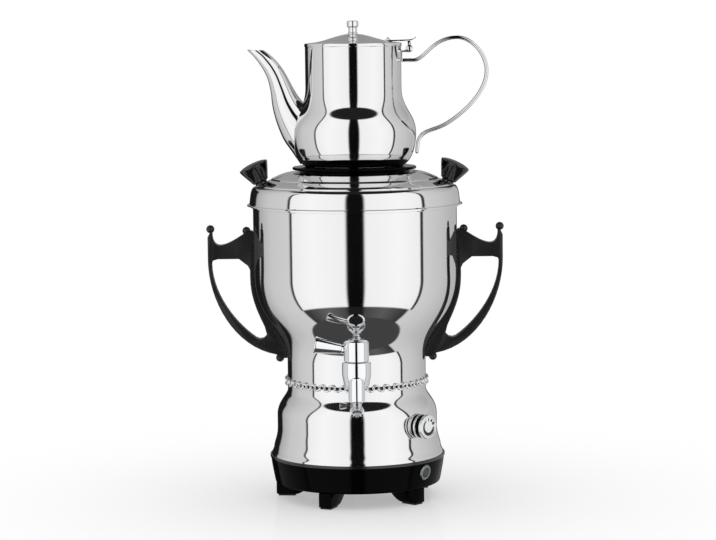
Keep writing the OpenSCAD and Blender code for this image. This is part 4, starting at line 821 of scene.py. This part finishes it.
# %% Layers and light
# Each layer starts between two elevations in degrees
TABLE_GREY, CEILING_GREY, EVEN_LIGHT = 0.065, 0.015, 1.06
room = layered(grey(TABLE_GREY), compass(FLOOR), -57.5, -56.5)
room = layered(room, compass(WALLS), -40, -38)
room = layered(room, compass(UPPER), 13, 16)
room = layered(room, grey(CEILING_GREY), 49, 50.5)
path = add(sky, "ShaderNodeLightPath").outputs
even = add(sky, "ShaderNodeMix", {"Factor": path["Is Glossy Ray"], "A": grey(EVEN_LIGHT), "B": room},
           data_type="RGBA")
seen = add(sky, "ShaderNodeMix", {"Factor": path["Is Camera Ray"], "A": even.outputs["Result"],
                                  "B": grey(1.0)},
           data_type="RGBA")
light = add(sky, "ShaderNodeBackground", {"Color": seen.outputs["Result"], "Strength": 1.0})
add(sky, "ShaderNodeOutputWorld", {"Surface": light.outputs["Background"]})
print("the studio has", len(sky.nodes), "nodes")

# %% [markdown]
# ## The floor
# The floor is a large white sheet. Close to the samovar it takes its shadow and mirrors it faintly,
# as a polished sheet does; further out it fades into the white of the background. Reflections in
# the metal see the map of the room instead of the floor, so the floor is hidden from them.

# %% Floor
bpy.ops.object.select_all(action="DESELECT")
FLOOR_SIZE, FLOOR_DROP, FLOOR_WHITE = 12, 0.05 * MM, 0.935
bpy.ops.mesh.primitive_plane_add(size=FLOOR_SIZE, location=(0, 0, -FLOOR_DROP))
floor = bpy.context.active_object
floor.name = "studio_floor"
acrylic = bpy.data.materials.new("white acrylic sheet")
acrylic.use_nodes = True
tree = acrylic.node_tree
tree.nodes.remove(tree.nodes["Principled BSDF"])
place = add(tree, "ShaderNodeTexCoord").outputs["Object"]
out = add(tree, "ShaderNodeVectorMath", {0: place}, operation="LENGTH").outputs["Value"]
near = add(tree, "ShaderNodeMapRange", {"Value": out, "From Min": 0.1, "From Max": 0.42, "To Min": 0.2,
                                        "To Max": 0.0})
matt = add(tree, "ShaderNodeBsdfDiffuse", {"Color": grey(FLOOR_WHITE)})
mirror = add(tree, "ShaderNodeBsdfGlossy", {"Color": grey(1.0), "Roughness": 0.05})
both = add(tree, "ShaderNodeMixShader", {0: near.outputs["Result"], 1: matt.outputs["BSDF"],
                                         2: mirror.outputs["BSDF"]})
far = add(tree, "ShaderNodeMapRange", {"Value": out, "From Min": 0.14, "From Max": 0.55, "To Min": 0.4,
                                       "To Max": 1.0}).outputs["Result"]
path = add(tree, "ShaderNodeLightPath").outputs
blank = add(tree, "ShaderNodeMath", {0: far, 1: path["Is Camera Ray"]}, operation="MULTIPLY").outputs[0]
white = add(tree, "ShaderNodeEmission", {"Color": grey(1.0), "Strength": 1.0})
sheet = add(tree, "ShaderNodeMixShader", {0: blank, 1: both.outputs["Shader"], 2: white.outputs["Emission"]})
tree.links.new(sheet.outputs["Shader"], tree.nodes["Material Output"].inputs["Surface"])
floor.data.materials.append(acrylic)
floor.visible_glossy = False
print("floor of", floor.dimensions.x, "m")

# %% [markdown]
# ## The camera
# The picture was taken from about 2.4 m away and a little above the lid, with a long lens. The
# camera is turned by two thirds of a degree, as in the photograph.

# %% Camera
DISTANCE, EYE_Z, AIM_Z, AIM_X, ROLL, LENS = 2.389, 0.460, 0.228, 0.0025, -0.66, 120.7
bpy.ops.object.camera_add(location=(AIM_X, AXIS_Y * MM - DISTANCE, EYE_Z))
camera = bpy.context.active_object
down = atan2(EYE_Z - AIM_Z, DISTANCE)
camera.matrix_world = (Matrix.Translation(camera.location) @ Matrix.Rotation(pi / 2 - down, 4, "X")
                       @ Matrix.Rotation(radians(ROLL), 4, "Z"))
camera.data.sensor_width = 36
camera.data.lens = LENS
bpy.context.scene.camera = camera
bpy.context.scene.view_settings.view_transform = "Standard"
print("camera looks down", round(degrees(down), 2), "degrees")
